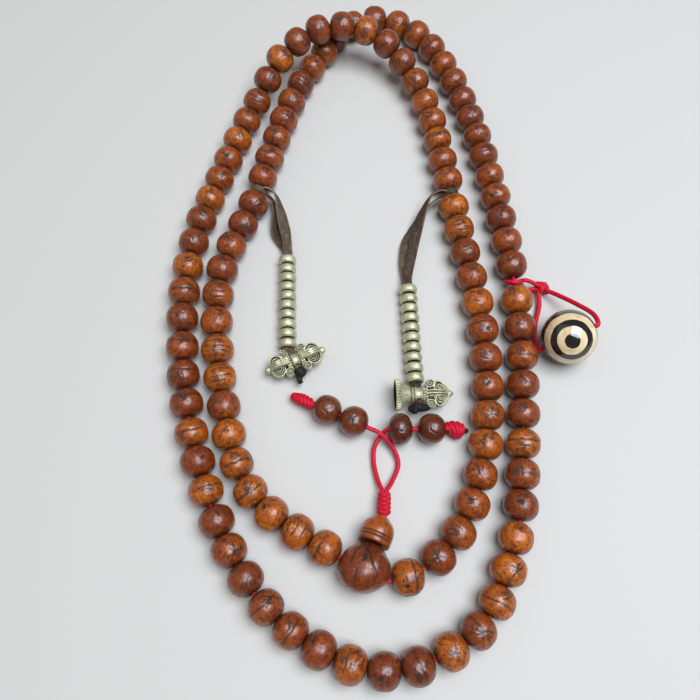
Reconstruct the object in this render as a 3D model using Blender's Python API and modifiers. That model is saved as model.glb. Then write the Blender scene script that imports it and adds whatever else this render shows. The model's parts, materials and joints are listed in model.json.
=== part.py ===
"""Strung prayer beads: a 108-bead strand, guru bead and tower, cord tassel,
two leather counter straps with sliding rings, and a round charm bead.

Lengths below are millimetres.  The strand lies on the plane z = 0 and the
origin is the centre of the ground flat under the guru bead.
"""
import math

import bmesh
import bpy
import numpy as np
from mathutils import Matrix, Vector

MM = 0.001

# ---- strand -------------------------------------------------------------
BEAD_COUNT = 108
BEAD_R = 5.0
BEAD_GAP = 0.4
NECK_R = 1.4
FACE_R = 1.6
CORD_R = 0.6
FIRST_BEAD_AT = 12.1
LAST_BEAD_AT = 11.8
# extra cord showing after these beads: the first bead is loose, a strap is
# tied after beads 15 and 93, the charm after bead 68
SLACK_AFTER = {1: 1.1, 15: 2.4, 55: 0.6, 68: 3.2, 93: 2.4, 104: 0.2}
# a little extra at every gap where the strand is allowed to bend
SWING_SLACK = 0.25
# the strand is strung with slightly thicker beads around one height of the
# oval and thinner ones around another: (y, half width, share)
THICKNESS_DRIFT = ((72.0, 25.0, 0.06), (138.0, 30.0, -0.055))
# the way the strand is laid, from the guru bead up the inner right side,
# over itself at the top, round the outside and back down the inner left
LAY = (
    (0, 0, 6.2), (12, -2, 5), (26, 9.5, 5), (35, 33, 5), (37, 70, 5),
    (32, 106.5, 5), (28, 134, 5), (23.5, 157, 5.5), (16.5, 172, 8.5),
    (4.5, 183, 13.5), (-13, 183.5, 15.5), (-27.5, 173.5, 12.5),
    (-36, 159, 7), (-45, 135.5, 5), (-55.5, 93, 5), (-51.5, 45, 5),
    (-36, 4, 5), (-19, -15.5, 5), (5.5, -25, 5), (29.5, -15.5, 5),
    (41.5, 7.5, 5), (47, 44, 5), (48.5, 82, 5), (43.5, 128, 5),
    (34, 168, 5), (21, 192, 5), (5, 199, 5), (-6, 194, 5), (-12.5, 184, 5),
    (-22, 166.5, 5), (-29.5, 142, 5), (-36, 116, 5), (-44.5, 90.5, 5),
    (-42.5, 54.5, 5), (-31.5, 20.5, 5), (-10, 5, 5), (0, 0, 6.2),
)
# stretches of strand that move together: (first bead, last bead)
RUNS = (
    (2, 5), (6, 15), (16, 17), (18, 20), (21, 29), (30, 32), (33, 40),
    (41, 43), (44, 46), (47, 49), (50, 57), (58, 60), (61, 63), (64, 66),
    (67, 68), (69, 74), (75, 77), (78, 88), (89, 91), (92, 93), (94, 104),
    (105, 108),
)
# the bead after whose gap each moving stretch swings
SWINGS_AT = {
    (18, 20): 17, (30, 32): 17, (21, 29): 20,
    (75, 77): 74, (89, 91): 74, (78, 88): 77,
    (41, 43): 40, (64, 66): 40, (44, 46): 43, (61, 63): 43,
    (47, 49): 46, (58, 60): 46, (50, 57): 49,
}
SWING_GAPS = (17, 20, 29, 32, 40, 43, 46, 49, 57, 60, 63, 66, 74, 77, 88, 91)

# ---- guru bead, tower and tassel ---------------------------------------
GURU_CENTRE = (0.0, 0.0, 6.3)
GURU_RADII = (7.3, 6.6, 6.6)
GURU_BORE = 1.0
TOWER_BORE = 1.25
TOWER_HEADING = 68.5
TOWER_DROP = 8.0
TOWER_BASE_AT = 6.9
TOWER_PROFILE = (
    (1.5, 8.0), (2.4, 7.3), (3.4, 6.0), (4.1, 4.5), (4.3, 3.5),
    (3.9, 3.0), (4.4, 2.5), (3.95, 1.95), (4.5, 1.3), (4.2, 0.0),
)
STEM_R = 0.85
TASSEL_PIVOT_AT = 15.65
TASSEL_R = 0.8
TASSEL_BORE = 1.15
CROSSING = (5.2, 37.5, 3.3)
# tassel beads: name, centre, radius, half thickness
TASSEL_BEADS = (
    ("tassel_bead_left_inner", (-2.6, 41.3, 4.55), 4.55, 4.15),
    ("tassel_bead_left_outer", (-10.4, 44.9, 4.4), 4.4, 4.15),
    ("tassel_bead_right_inner", (10.9, 38.9, 4.65), 4.65, 3.5),
    ("tassel_bead_right_outer", (20.1, 39.1, 4.5), 4.5, 4.0),
)

# ---- counter straps -----------------------------------------------------
STRAP_WIDTH = 3.4
STRAP_THICK = 1.2
EYE_RADIUS = 1.35
EYE_WIRE = 0.5
RING_R = 2.8
RING_BORE = 2.2
RING_HALF = 1.47
RINGS = 10
METAL_BORE = 1.35
LEFT_STRAP_GAP = 93
RIGHT_STRAP_GAP = 15
CHARM_GAP = 68

# ---- charm bead ---------------------------------------------------------
CHARM_CENTRE = (62.2, 66.6, 8.3)
CHARM_R = 8.25
CHARM_BORE = 1.15
CHARM_HEADING = 15.7
CHARM_DROP = -28.0
CHARM_CORD_R = 0.8
CHARM_KNOT = (57.5, 86.1, 2.6)


for old in list(bpy.data.objects):
    bpy.data.objects.remove(old, do_unlink=True)

parts = bpy.data.collections.new("prayer_beads")
cutters = bpy.data.collections.new("cutters")
bpy.context.scene.collection.children.link(parts)
bpy.context.scene.collection.children.link(cutters)


# ------------------------------------------------------------------ helpers
def vec(values):
    return Vector([float(v) for v in values])


def heading(degrees, drop=0.0):
    """Unit direction in plan, tipped down by drop degrees."""
    flat = math.cos(math.radians(drop))
    turn = math.radians(degrees)
    return Vector((math.cos(turn) * flat, math.sin(turn) * flat, -math.sin(math.radians(drop))))


def material(name, colour, roughness, metallic=0.0):
    made = bpy.data.materials.new(name)
    made.use_nodes = True
    shader = made.node_tree.nodes["Principled BSDF"]
    shader.inputs["Base Color"].default_value = (*colour, 1.0)
    shader.inputs["Roughness"].default_value = roughness
    shader.inputs["Metallic"].default_value = metallic
    return made


def link(name, mesh, coat, collection=parts):
    made = bpy.data.objects.new(name, mesh)
    collection.objects.link(made)
    if coat:
        mesh.materials.append(coat)
    return made


def smooth(mesh):
    mesh.polygons.foreach_set("use_smooth", [True] * len(mesh.polygons))


def set_origin(made, place):
    """Move an object's origin to a place given in millimetres."""
    offset = vec(place) * MM
    made.data.transform(Matrix.Translation(-offset))
    made.location = offset


def facing(direction, place):
    """Matrix that turns +Z to the direction and moves to the place."""
    turn = direction.to_track_quat("Z", "Y").to_matrix().to_4x4()
    return Matrix.Translation(vec(place) * MM) @ turn


def tube_mesh(points, radii, twist="Z_UP", cyclic=False):
    """Eight-sided closed tube through the points, with a radius at each."""
    data = bpy.data.curves.new("path", "CURVE")
    data.dimensions = "3D"
    data.twist_mode = twist
    data.bevel_depth = MM
    data.bevel_resolution = 2
    data.use_fill_caps = not cyclic
    data.render_resolution_u = 0
    spline = data.splines.new("POLY")
    spline.points.add(len(points) - 1)
    spline.use_cyclic_u = cyclic
    for knot, place, radius in zip(spline.points, points, radii):
        knot.co = (*(vec(place) * MM), 1.0)
        knot.radius = radius
    path = bpy.data.objects.new("path", data)
    cutters.objects.link(path)
    bpy.context.view_layer.update()
    graph = bpy.context.evaluated_depsgraph_get()
    mesh = bpy.data.meshes.new_from_object(path.evaluated_get(graph))
    mesh.transform(path.matrix_world)
    bpy.data.objects.remove(path, do_unlink=True)
    shape = bmesh.new()
    shape.from_mesh(mesh)
    bmesh.ops.remove_doubles(shape, verts=shape.verts, dist=0.00001)
    bmesh.ops.recalc_face_normals(shape, faces=shape.faces)
    shape.to_mesh(mesh)
    shape.free()
    mesh.materials.clear()
    return mesh


def turned(name, profile, steps, coat, closed=True, collection=parts):
    """Turned solid about its own Z from (radius, height) points."""
    mesh = bpy.data.meshes.new(name)
    corners = [(radius * MM, 0.0, height * MM) for radius, height in profile]
    edges = [(i, i + 1) for i in range(len(corners) - 1)]
    if closed:
        edges.append((len(corners) - 1, 0))
    mesh.from_pydata(corners, edges, [])
    made = link(name, mesh, coat, collection)
    screw = made.modifiers.new("turn", "SCREW")
    screw.angle = 2.0 * math.pi
    screw.steps = steps
    screw.render_steps = steps
    screw.use_merge_vertices = True
    screw.merge_threshold = 0.00001
    screw.use_smooth_shade = True
    return made


def cylinder_cutter(name, radius, start, end, sides=12):
    """Cutter from start to end, both in millimetres in world space."""
    start, end = vec(start), vec(end)
    shape = bmesh.new()
    bmesh.ops.create_cone(shape, cap_ends=True, segments=sides, radius1=radius * MM,
                          radius2=radius * MM, depth=(end - start).length * MM)
    mesh = bpy.data.meshes.new(name)
    shape.to_mesh(mesh)
    shape.free()
    made = link(name, mesh, None, cutters)
    made.matrix_world = facing((end - start).normalized(), (start + end) / 2.0)
    hide(made)
    return made


def hide(made):
    made.hide_render = True
    made.display_type = "WIRE"


def boolean(made, other, operation):
    step = made.modifiers.new(operation.lower(), "BOOLEAN")
    step.operation = operation
    step.solver = "EXACT"
    step.object = other
    return step


def ball(name, centre, radii, coat=None, collection=cutters, segments=16, rings=10, axis=None):
    """Ellipsoid; radii[2] lies along the axis when one is given."""
    shape = bmesh.new()
    bmesh.ops.create_uvsphere(shape, u_segments=segments, v_segments=rings, radius=MM)
    bmesh.ops.scale(shape, vec=vec(radii), verts=shape.verts)
    mesh = bpy.data.meshes.new(name)
    shape.to_mesh(mesh)
    shape.free()
    smooth(mesh)
    made = link(name, mesh, coat, collection)
    made.matrix_world = facing(axis or Vector((0, 0, 1)), centre)
    return made


# ------------------------------------------------------------------- strand
def lay_curve(steps=24):
    """Smooth curve through LAY, with tangents weighted by knot distance."""
    knots = np.array(LAY, float)
    knots = np.vstack([2 * knots[0] - knots[1], knots, 2 * knots[-1] - knots[-2]])
    curve = []
    for i in range(1, len(knots) - 2):
        before, start, end, after = knots[i - 1:i + 3]
        a = math.sqrt(np.linalg.norm(start - before))
        b = math.sqrt(np.linalg.norm(end - start))
        c = math.sqrt(np.linalg.norm(after - end))
        leave = (end - start) + b * ((start - before) / a - (end - before) / (a + b))
        arrive = (end - start) + b * ((after - end) / c - (after - start) / (b + c))
        for k in range(steps):
            t = k / steps
            curve.append((2 * t ** 3 - 3 * t * t + 1) * start + (t ** 3 - 2 * t * t + t) * leave
                         + (3 * t * t - 2 * t ** 3) * end + (t ** 3 - t * t) * arrive)
    curve.append(knots[-2])
    return np.array(curve)


def string_beads():
    """Centre, axis and half thickness of every bead along the strand."""
    curve = lay_curve()
    steps = np.linalg.norm(np.diff(curve, axis=0), axis=1)
    along = np.concatenate([[0.0], np.cumsum(steps)])
    share = np.ones(len(steps))
    for middle, width, change in THICKNESS_DRIFT:
        share += change * np.exp(-((curve[:-1, 1] - middle) / width) ** 2)
    count = np.concatenate([[0.0], np.cumsum(steps / share)])
    slack = np.zeros(BEAD_COUNT)
    for bead, extra in SLACK_AFTER.items():
        slack[bead:] += extra
    for bead in SWING_GAPS:
        slack[bead:] += SWING_SLACK
    first = np.interp(FIRST_BEAD_AT, along, count)
    last = np.interp(along[-1] - LAST_BEAD_AT, along, count)
    pitch = (last - first - slack[-1]) / (BEAD_COUNT - 1)
    at = np.interp(first + pitch * np.arange(BEAD_COUNT) + slack, count, along)
    spacing = pitch * np.interp(at, along[:-1], share)
    half = (spacing - BEAD_GAP) / 2.0

    def point(distance):
        return Vector([float(np.interp(distance, along, curve[:, k])) for k in range(3)])

    beads = {}
    for i in range(BEAD_COUNT):
        centre = point(at[i])
        axis = (point(at[i] + half[i]) - point(at[i] - half[i])).normalized()
        beads[i + 1] = (centre, axis, float(half[i]))
    return beads


beads = string_beads()


def near_face(bead):
    centre, axis, half = beads[bead]
    return centre - axis * half


def far_face(bead):
    centre, axis, half = beads[bead]
    return centre + axis * half


def gap_after(bead):
    """Middle of the gap between a bead and the next one."""
    return (far_face(bead) + near_face(bead + 1)) / 2.0


def gap_axis(bead):
    return (near_face(bead + 1) - far_face(bead)).normalized()


def guru_side(bead, depth):
    """Point this far past an end of the strand, inside the guru bead."""
    if bead == 1:
        return near_face(bead) - beads[bead][1] * depth
    return far_face(bead) + beads[bead][1] * depth


def run_sections(first, last):
    """Points and radii of a stretch of beads joined on their cord."""
    points = [near_face(first)]
    radii = [FACE_R]
    for bead in range(first, last + 1):
        centre, axis, half = beads[bead]
        for offset, radius in ((-0.8, 0.68), (-0.29, 1.0), (0.29, 1.0), (0.8, 0.68)):
            points.append(centre + axis * half * offset)
            radii.append(BEAD_R * radius)
        if bead == last:
            points.append(far_face(bead))
            radii.append(FACE_R)
        elif bead in SLACK_AFTER:
            for end in (far_face(bead), near_face(bead + 1)):
                points.append(end)
                radii.append(FACE_R)
        else:
            points.append(gap_after(bead))
            radii.append(NECK_R)
    return points, radii


def add_cord(points, radii, ends, at_start=False):
    """Bare cord leading out of a stretch through the given points."""
    face = points[0] if at_start else points[-1]
    step = (ends[0] - face).normalized() * 0.05
    extra = [face + step] + list(ends)
    if at_start:
        extra.reverse()
        return extra + points, [CORD_R] * len(extra) + radii
    return points + extra, radii + [CORD_R] * len(extra)


seed_tones = ((0.36, 0.15, 0.06), (0.27, 0.10, 0.04), (0.42, 0.19, 0.08))
for index, (first, last) in enumerate(RUNS):
    points, radii = run_sections(first, last)
    if first == 2:
        # bare cord through the loose first bead and into the guru
        lead = [far_face(1) + beads[1][1] * 0.65, guru_side(1, 4.6)]
        points, radii = add_cord(points, radii, lead, at_start=True)
    if last in (LEFT_STRAP_GAP, RIGHT_STRAP_GAP, CHARM_GAP):
        points, radii = add_cord(points, radii, [near_face(last + 1) - gap_axis(last) * 0.3])
    if last == BEAD_COUNT:
        points, radii = add_cord(points, radii, [guru_side(BEAD_COUNT, 4.2)])
    name = "beads_%03d_%03d" % (first, last)
    coat = material(name, seed_tones[index % 3], 0.4)
    run = link(name, tube_mesh(points, radii), coat)
    smooth(run.data)
    if (first, last) in SWINGS_AT:
        set_origin(run, gap_after(SWINGS_AT[(first, last)]))


def drilled_bead(name, centre, axis, radius, half, bore, coat):
    """Rounded bead with a through hole along its axis."""
    outline = ((bore, 1.0), (0.42, 0.97), (0.76, 0.72), (1.0, 0.27))
    upper = [(bore if i == 0 else radius * r, half * z) for i, (r, z) in enumerate(outline)]
    lower = [(r, -z) for r, z in reversed(upper)]
    made = turned(name, upper + lower, 14, coat)
    made.matrix_world = facing(axis, centre)
    return made


loose_centre, loose_axis, loose_half = beads[1]
drilled_bead("bead_001", loose_centre, loose_axis, BEAD_R, loose_half, 0.95,
             material("bead_001", (0.34, 0.13, 0.05), 0.4))


# --------------------------------------------------------- guru and tower
guru_centre = vec(GURU_CENTRE)
tower_axis = heading(TOWER_HEADING, TOWER_DROP)
tassel_pivot = guru_centre + tower_axis * TASSEL_PIVOT_AT

guru = ball("guru_bead", GURU_CENTRE, GURU_RADII, material("guru_bead", (0.24, 0.08, 0.035), 0.35),
            parts, segments=24, rings=14)
floor_cut = bmesh.new()
bmesh.ops.create_cube(floor_cut, size=0.03)
floor_mesh = bpy.data.meshes.new("guru_flat_cutter")
floor_cut.to_mesh(floor_mesh)
floor_cut.free()
flat_cutter = link("guru_flat_cutter", floor_mesh, None, cutters)
flat_cutter.location = (0.0, 0.0, -0.015)
hide(flat_cutter)
boolean(guru, flat_cutter, "DIFFERENCE")
for label, bead in (("right", 1), ("left", BEAD_COUNT)):
    hole = cylinder_cutter("guru_hole_" + label, GURU_BORE, guru_side(bead, 8.0), guru_side(bead, -2.0))
    boolean(guru, hole, "DIFFERENCE")
top_hole = cylinder_cutter("guru_hole_top", TOWER_BORE, guru_centre, guru_centre + tower_axis * 12.0)
boolean(guru, top_hole, "DIFFERENCE")

tower = turned("tower_bead", ((TOWER_BORE, 8.0),) + TOWER_PROFILE + ((TOWER_BORE, 0.0),), 18,
               material("tower_bead", (0.44, 0.18, 0.06), 0.4))
tower.matrix_world = facing(tower_axis, guru_centre + tower_axis * TOWER_BASE_AT)

stem_ends = [guru_centre + tower_axis * 1.6, guru_centre + tower_axis * (TASSEL_PIVOT_AT - 0.55)]
stem = link("guru_cord", tube_mesh(stem_ends, (STEM_R, STEM_R)), material("guru_cord", (0.45, 0.02, 0.02), 0.6))
smooth(stem.data)


# ------------------------------------------------------------------ tassel
def along_branch(start, end, distance):
    start, end = vec(start), vec(end)
    return start + (end - start).normalized() * distance


left_inner, left_outer, right_inner, right_outer = [vec(entry[1]) for entry in TASSEL_BEADS]
crossing = vec(CROSSING)
collar_top = vec((6.0, 20.6, 3.0))
pivot_up = (collar_top - tassel_pivot).normalized()

left_run = (left_outer - left_inner).normalized()
left_branch = [
    collar_top, vec((8.6, 24.5, 2.0)), vec((10.3, 29.6, 1.6)), vec((7.5, 34.2, 2.1)), crossing,
    left_inner - left_run * 6.9, left_outer + left_run * 4.3, left_outer + left_run * 4.6,
    left_outer + left_run * 6.4, left_outer + left_run * 9.0, left_outer + left_run * 11.2,
    left_outer + left_run * 12.2,
]
left_radii = [TASSEL_R] * 7 + [1.5, 1.75, 1.8, 1.5, 0.7]
left_branch = left_branch[:8] + [p - Vector((0, 0, 0.16 * (i + 1) * 2.0)) for i, p in enumerate(left_branch[8:])]

right_run = (right_outer - right_inner).normalized()
right_branch = [
    collar_top, vec((4.4, 24.5, 2.0)), vec((3.3, 30.5, 1.6)), vec((3.4, 34.6, 2.4)), crossing,
    right_inner - right_run * 4.4, right_outer + right_run * 4.2, right_outer + right_run * 4.5,
    right_outer + right_run * 6.6, right_outer + right_run * 9.2, right_outer + right_run * 11.4,
]
right_radii = [TASSEL_R] * 7 + [1.6, 2.35, 1.7, 0.7]
right_branch = right_branch[:8] + [p - Vector((0, 0, 0.5 * (i + 1))) for i, p in enumerate(right_branch[8:])]

collar = [
    tassel_pivot + pivot_up * 0.2, tassel_pivot + pivot_up * 1.0, tassel_pivot + pivot_up * 2.0,
    tassel_pivot + pivot_up * 3.4, tassel_pivot + pivot_up * 5.2, collar_top + pivot_up * 0.8,
]
collar_radii = [0.6, 1.1, 1.7, 1.95, 1.8, 1.1]
tassel_coat = material("tassel_cord", (0.6, 0.02, 0.03), 0.5)
tassel = link("tassel_cord", tube_mesh(left_branch, left_radii), tassel_coat)
set_origin(tassel, tassel_pivot)
smooth(tassel.data)
for label, points, radii in (("right", right_branch, right_radii), ("collar", collar, collar_radii)):
    piece = link("tassel_" + label, tube_mesh(points, radii), None, cutters)
    hide(piece)
    boolean(tassel, piece, "UNION")

for index, (name, centre, radius, half) in enumerate(TASSEL_BEADS):
    run_axis = left_run if index < 2 else right_run
    drilled_bead(name, centre, run_axis, radius, half, TASSEL_BORE,
                 material(name, ((0.2, 0.08, 0.04), (0.2, 0.08, 0.04), (0.25, 0.1, 0.05),
                                 (0.1, 0.035, 0.02))[index], 0.3))


# --------------------------------------------------------- counter straps
def strap_mesh(points, widths):
    """Flat leather strip laid level through the points."""
    outline = bpy.data.curves.new("strap_section", "CURVE")
    outline.dimensions = "2D"
    edge = outline.splines.new("POLY")
    corners = ((-1, -0.55), (-0.85, -1), (0.85, -1), (1, -0.55), (1, 0.55), (0.85, 1), (-0.85, 1), (-1, 0.55))
    edge.points.add(len(corners) - 1)
    for corner, (x, y) in zip(edge.points, corners):
        corner.co = (x * STRAP_WIDTH / 2 * MM, y * STRAP_THICK / 2 * MM, 0.0, 1.0)
    edge.use_cyclic_u = True
    section = bpy.data.objects.new("strap_section", outline)
    cutters.objects.link(section)
    data = bpy.data.curves.new("strap_path", "CURVE")
    data.dimensions = "3D"
    data.twist_mode = "Z_UP"
    data.bevel_mode = "OBJECT"
    data.bevel_object = section
    data.use_fill_caps = True
    data.render_resolution_u = 0
    spline = data.splines.new("POLY")
    spline.points.add(len(points) - 1)
    for knot, place, width in zip(spline.points, points, widths):
        knot.co = (*(vec(place) * MM), 1.0)
        knot.radius = width
    path = bpy.data.objects.new("strap_path", data)
    cutters.objects.link(path)
    bpy.context.view_layer.update()
    graph = bpy.context.evaluated_depsgraph_get()
    mesh = bpy.data.meshes.new_from_object(path.evaluated_get(graph))
    bpy.data.objects.remove(path, do_unlink=True)
    bpy.data.objects.remove(section, do_unlink=True)
    shape = bmesh.new()
    shape.from_mesh(mesh)
    bmesh.ops.remove_doubles(shape, verts=shape.verts, dist=0.00001)
    bmesh.ops.recalc_face_normals(shape, faces=shape.faces)
    shape.to_mesh(mesh)
    shape.free()
    mesh.materials.clear()
    return mesh


def eye(name, bead):
    """Loop that goes round the strand's cord after a bead."""
    made = turned(name, [(EYE_RADIUS + EYE_WIRE * math.cos(a), EYE_WIRE * math.sin(a))
                         for a in [math.pi / 2 - math.pi / 3 * k for k in range(6)]],
                  12, None, True, cutters)
    made.matrix_world = facing(gap_axis(bead), gap_after(bead))
    hide(made)
    return made


def counter(side, bead, path, ring_first, ring_last, hub, hub_axis, metal_profile, metal_axis):
    """One counter: strap looped on the strand, ten rings and a metal end piece."""
    gap = gap_after(bead)
    ring_first, ring_last, hub = vec(ring_first), vec(ring_last), vec(hub)
    ring_run = (ring_last - ring_first).normalized()
    start = ring_first - ring_run * 12.4
    out = (vec(path[0]) - gap).normalized()
    knot_at = hub + hub_axis * 4.6
    points = [gap + out * EYE_RADIUS] + [vec(p) for p in path] + [
        start, ring_last + ring_run * 1.6, hub - hub_axis * 3.0, hub + hub_axis * 4.0]
    widths = [0.45] + [0.6] + [1.0] * (len(path) - 1) + [1.0, 1.0, 0.62, 0.62]
    strap = link("strap_" + side, strap_mesh(points, widths), material("strap_" + side, (0.09, 0.06, 0.04), 0.6))
    set_origin(strap, gap)
    boolean(strap, eye("eye_" + side, bead), "UNION")
    knot = ball("knot_" + side, knot_at, (2.4, 1.8, 1.5), segments=12, rings=8, axis=hub_axis)
    hide(knot)
    boolean(strap, knot, "UNION")
    for k in range(RINGS):
        name = "ring_%s_%02d" % (side, k + 1)
        place = ring_first + (ring_last - ring_first) * (k / (RINGS - 1))
        ring = turned(name, ((RING_BORE, RING_HALF), (RING_R, 0.75), (RING_R, -0.75), (RING_BORE, -RING_HALF)),
                      12, material(name, (0.55, 0.47, 0.24), 0.4, 1.0))
        ring.matrix_world = facing(ring_run, place)
    metal_name = {"left": "vajra", "right": "bell"}[side]
    metal = turned(metal_name, metal_profile, 16, material(metal_name, (0.6, 0.52, 0.27), 0.4, 1.0),
                   closed=metal_profile[0][0] > 0)
    metal.matrix_world = facing(metal_axis, hub)
    bore = cylinder_cutter(metal_name + "_bore", METAL_BORE, hub - hub_axis * 8, hub + hub_axis * 8)
    boolean(metal, bore, "DIFFERENCE")


half_vajra = (
    (0.0, 9.8), (0.7, 9.3), (0.75, 8.6), (2.0, 7.6), (3.6, 6.3), (3.7, 5.1),
    (2.4, 3.9), (1.9, 3.3), (2.3, 2.6), (2.4, 1.4),
)
vajra_profile = half_vajra + tuple((r, -z) for r, z in reversed(half_vajra))
counter(
    "left", LEFT_STRAP_GAP, ((-30.9, 121.0, 4.8), (-28.2, 118.4, 4.2), (-26.3, 113.8, 3.3)),
    (-24.0, 95.8, 2.8), (-23.0, 66.5, 2.8), (-20.3, 60.8, 3.7), heading(-67.5),
    vajra_profile, heading(22.5),
)

bell_profile = (
    (0.0, 10.9), (0.6, 10.3), (0.8, 9.5), (2.2, 8.2), (3.6, 6.2), (4.3, 4.3), (4.2, 3.3), (2.5, 2.3),
    (2.45, 0.0), (2.3, -1.2), (2.7, -1.9), (2.5, -2.4), (3.1, -3.6), (3.6, -4.7),
    (4.5, -5.6), (4.5, -6.1), (4.0, -6.1), (2.9, -4.9), (2.1, -3.3), (0.0, -2.6),
)
counter(
    "right", RIGHT_STRAP_GAP, ((26.3, 119.9, 4.8), (22.6, 117.6, 4.2), (19.0, 112.8, 3.3), (16.2, 106.4, 2.9)),
    (14.8, 85.1, 2.8), (15.9, 55.2, 2.8), (16.5, 49.6, 4.5), heading(-88.0),
    bell_profile, heading(2.0, 1.0),
)


# ------------------------------------------------------------- charm bead
charm_centre = vec(CHARM_CENTRE)
charm_axis = heading(CHARM_HEADING, CHARM_DROP)
charm_half = CHARM_R * math.sqrt(1 - (CHARM_BORE / CHARM_R) ** 2)
lower_angle = math.asin(CHARM_BORE / CHARM_R)
charm_outline = [(CHARM_R * math.sin(a), CHARM_R * math.cos(a))
                 for a in np.linspace(lower_angle, math.pi - lower_angle, 15)]
charm = turned("charm_bead", charm_outline, 22, material("charm_bead", (0.02, 0.015, 0.012), 0.08))
charm.matrix_world = facing(charm_axis, charm_centre)

charm_gap = gap_after(CHARM_GAP)
charm_knot = vec(CHARM_KNOT)
knot_out = (charm_knot - charm_gap).normalized()
near_end = charm_centre - charm_axis * (CHARM_R + 1.3)
far_end = charm_centre + charm_axis * (CHARM_R + 1.3)
loop = [
    charm_knot + Vector((-0.9, -0.6, 0.0)), vec((56.4, 80.5, 1.8)), vec((54.6, 74.0, 1.6)), vec((53.6, 67.6, 2.2)),
    near_end, charm_centre - charm_axis * CHARM_R * 0.8, charm_centre + charm_axis * CHARM_R * 0.8, far_end,
    vec((70.5, 71.4, 12.2)), vec((66.5, 77.4, 8.4)), vec((60.6, 83.6, 3.9)), charm_knot + Vector((0.9, -0.6, 0.0)),
]
charm_cord = link("charm_cord", tube_mesh(loop, [CHARM_CORD_R] * len(loop), cyclic=True),
                  material("charm_cord", (0.6, 0.02, 0.03), 0.5))
set_origin(charm_cord, charm_gap)
smooth(charm_cord.data)
boolean(charm_cord, eye("eye_charm", CHARM_GAP), "UNION")
lead = link("charm_lead", tube_mesh([charm_gap + knot_out * EYE_RADIUS, charm_knot], (0.9, 1.2)), None, cutters)
hide(lead)
boolean(charm_cord, lead, "UNION")
charm_tie = ball("charm_tie", charm_knot, (2.0, 2.0, 2.2), segments=12, rings=8, axis=knot_out)
hide(charm_tie)
boolean(charm_cord, charm_tie, "UNION")
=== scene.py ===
"""Looks of the strung prayer beads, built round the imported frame.

Lengths are millimetres until a mesh is made.  Each piece is made in place, so
its object sits at the origin.  Every mesh carries "local", its own texture
coordinates in millimetres, which move with it.
"""

import json
import math

import bpy
import numpy as np
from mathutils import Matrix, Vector


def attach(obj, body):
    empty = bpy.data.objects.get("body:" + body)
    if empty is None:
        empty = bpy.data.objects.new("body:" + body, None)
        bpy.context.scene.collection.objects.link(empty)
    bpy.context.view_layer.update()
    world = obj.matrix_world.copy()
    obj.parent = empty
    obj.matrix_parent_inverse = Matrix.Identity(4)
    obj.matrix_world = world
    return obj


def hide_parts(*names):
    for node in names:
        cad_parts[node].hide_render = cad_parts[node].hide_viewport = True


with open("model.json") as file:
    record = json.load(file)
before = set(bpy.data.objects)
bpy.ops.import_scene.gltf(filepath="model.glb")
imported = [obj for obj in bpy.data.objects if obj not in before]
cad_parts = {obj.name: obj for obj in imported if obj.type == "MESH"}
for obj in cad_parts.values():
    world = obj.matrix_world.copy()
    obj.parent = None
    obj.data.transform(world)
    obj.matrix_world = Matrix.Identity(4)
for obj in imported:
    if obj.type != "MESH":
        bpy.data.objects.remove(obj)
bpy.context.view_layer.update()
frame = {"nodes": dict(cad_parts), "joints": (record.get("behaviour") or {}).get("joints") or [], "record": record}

MM = 0.001
RECORD = frame["record"]
NODE_BODY = {node: body for body, nodes in RECORD["behaviour"]["bodies"].items() for node in nodes}
JOINTS = {joint["name"]: joint for joint in frame["joints"]}
CAMERA_AT = np.array([-3.7, -16.6, 198.8])
CAMERA_TILT = 22.5
UP = np.array([0.0, 0.0, 1.0])

# ---- the strand, laid and strung as in the CAD
BEAD_COUNT = 108
BEAD_GAP = 0.4
RIGHT_COUNTER_AFTER, CHARM_AFTER, LEFT_COUNTER_AFTER = 15, 68, 93
LOOPED_AFTER = (RIGHT_COUNTER_AFTER, CHARM_AFTER, LEFT_COUNTER_AFTER)
FIRST_BEAD_AT = 12.1
LAST_BEAD_AT = 11.8
SLACK_AFTER = {1: 1.1, 15: 2.4, 55: 0.6, 68: 3.2, 93: 2.4, 104: 0.2}
SWING_SLACK = 0.25
SWING_GAPS = (17, 20, 29, 32, 40, 43, 46, 49, 57, 60, 63, 66, 74, 77, 88, 91)
THICKNESS_DRIFT = ((72.0, 25.0, 0.06), (138.0, 30.0, -0.055))
LAY = (
    (0, 0, 6.2), (12, -2, 5), (26, 9.5, 5), (35, 33, 5), (37, 70, 5),
    (32, 106.5, 5), (28, 134, 5), (23.5, 157, 5.5), (16.5, 172, 8.5),
    (4.5, 183, 13.5), (-13, 183.5, 15.5), (-27.5, 173.5, 12.5),
    (-36, 159, 7), (-45, 135.5, 5), (-55.5, 93, 5), (-51.5, 45, 5),
    (-36, 4, 5), (-19, -15.5, 5), (5.5, -25, 5), (29.5, -15.5, 5),
    (41.5, 7.5, 5), (47, 44, 5), (48.5, 82, 5), (43.5, 128, 5),
    (34, 168, 5), (21, 192, 5), (5, 199, 5), (-6, 194, 5), (-12.5, 184, 5),
    (-22, 166.5, 5), (-29.5, 142, 5), (-36, 116, 5), (-44.5, 90.5, 5),
    (-42.5, 54.5, 5), (-31.5, 20.5, 5), (-10, 5, 5), (0, 0, 6.2),
)
GURU_CENTRE = np.array([0.0, 0.0, 6.3])
GURU_RADII = np.array([7.3, 6.6, 6.6])
TOWER_HEADING = 68.5
TOWER_DROP = 8.0
TOWER_BASE_AT = 6.9

# ---- how a seed is shaped
SEED_R = 4.93
SEED_BORE = 0.95
SEED_FULLNESS = 2.0 / 2.3
SEED_GROWTH = 0.16
FOLD_GROWTH = 0.09
AROUND = 104
ALONG = 50

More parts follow.
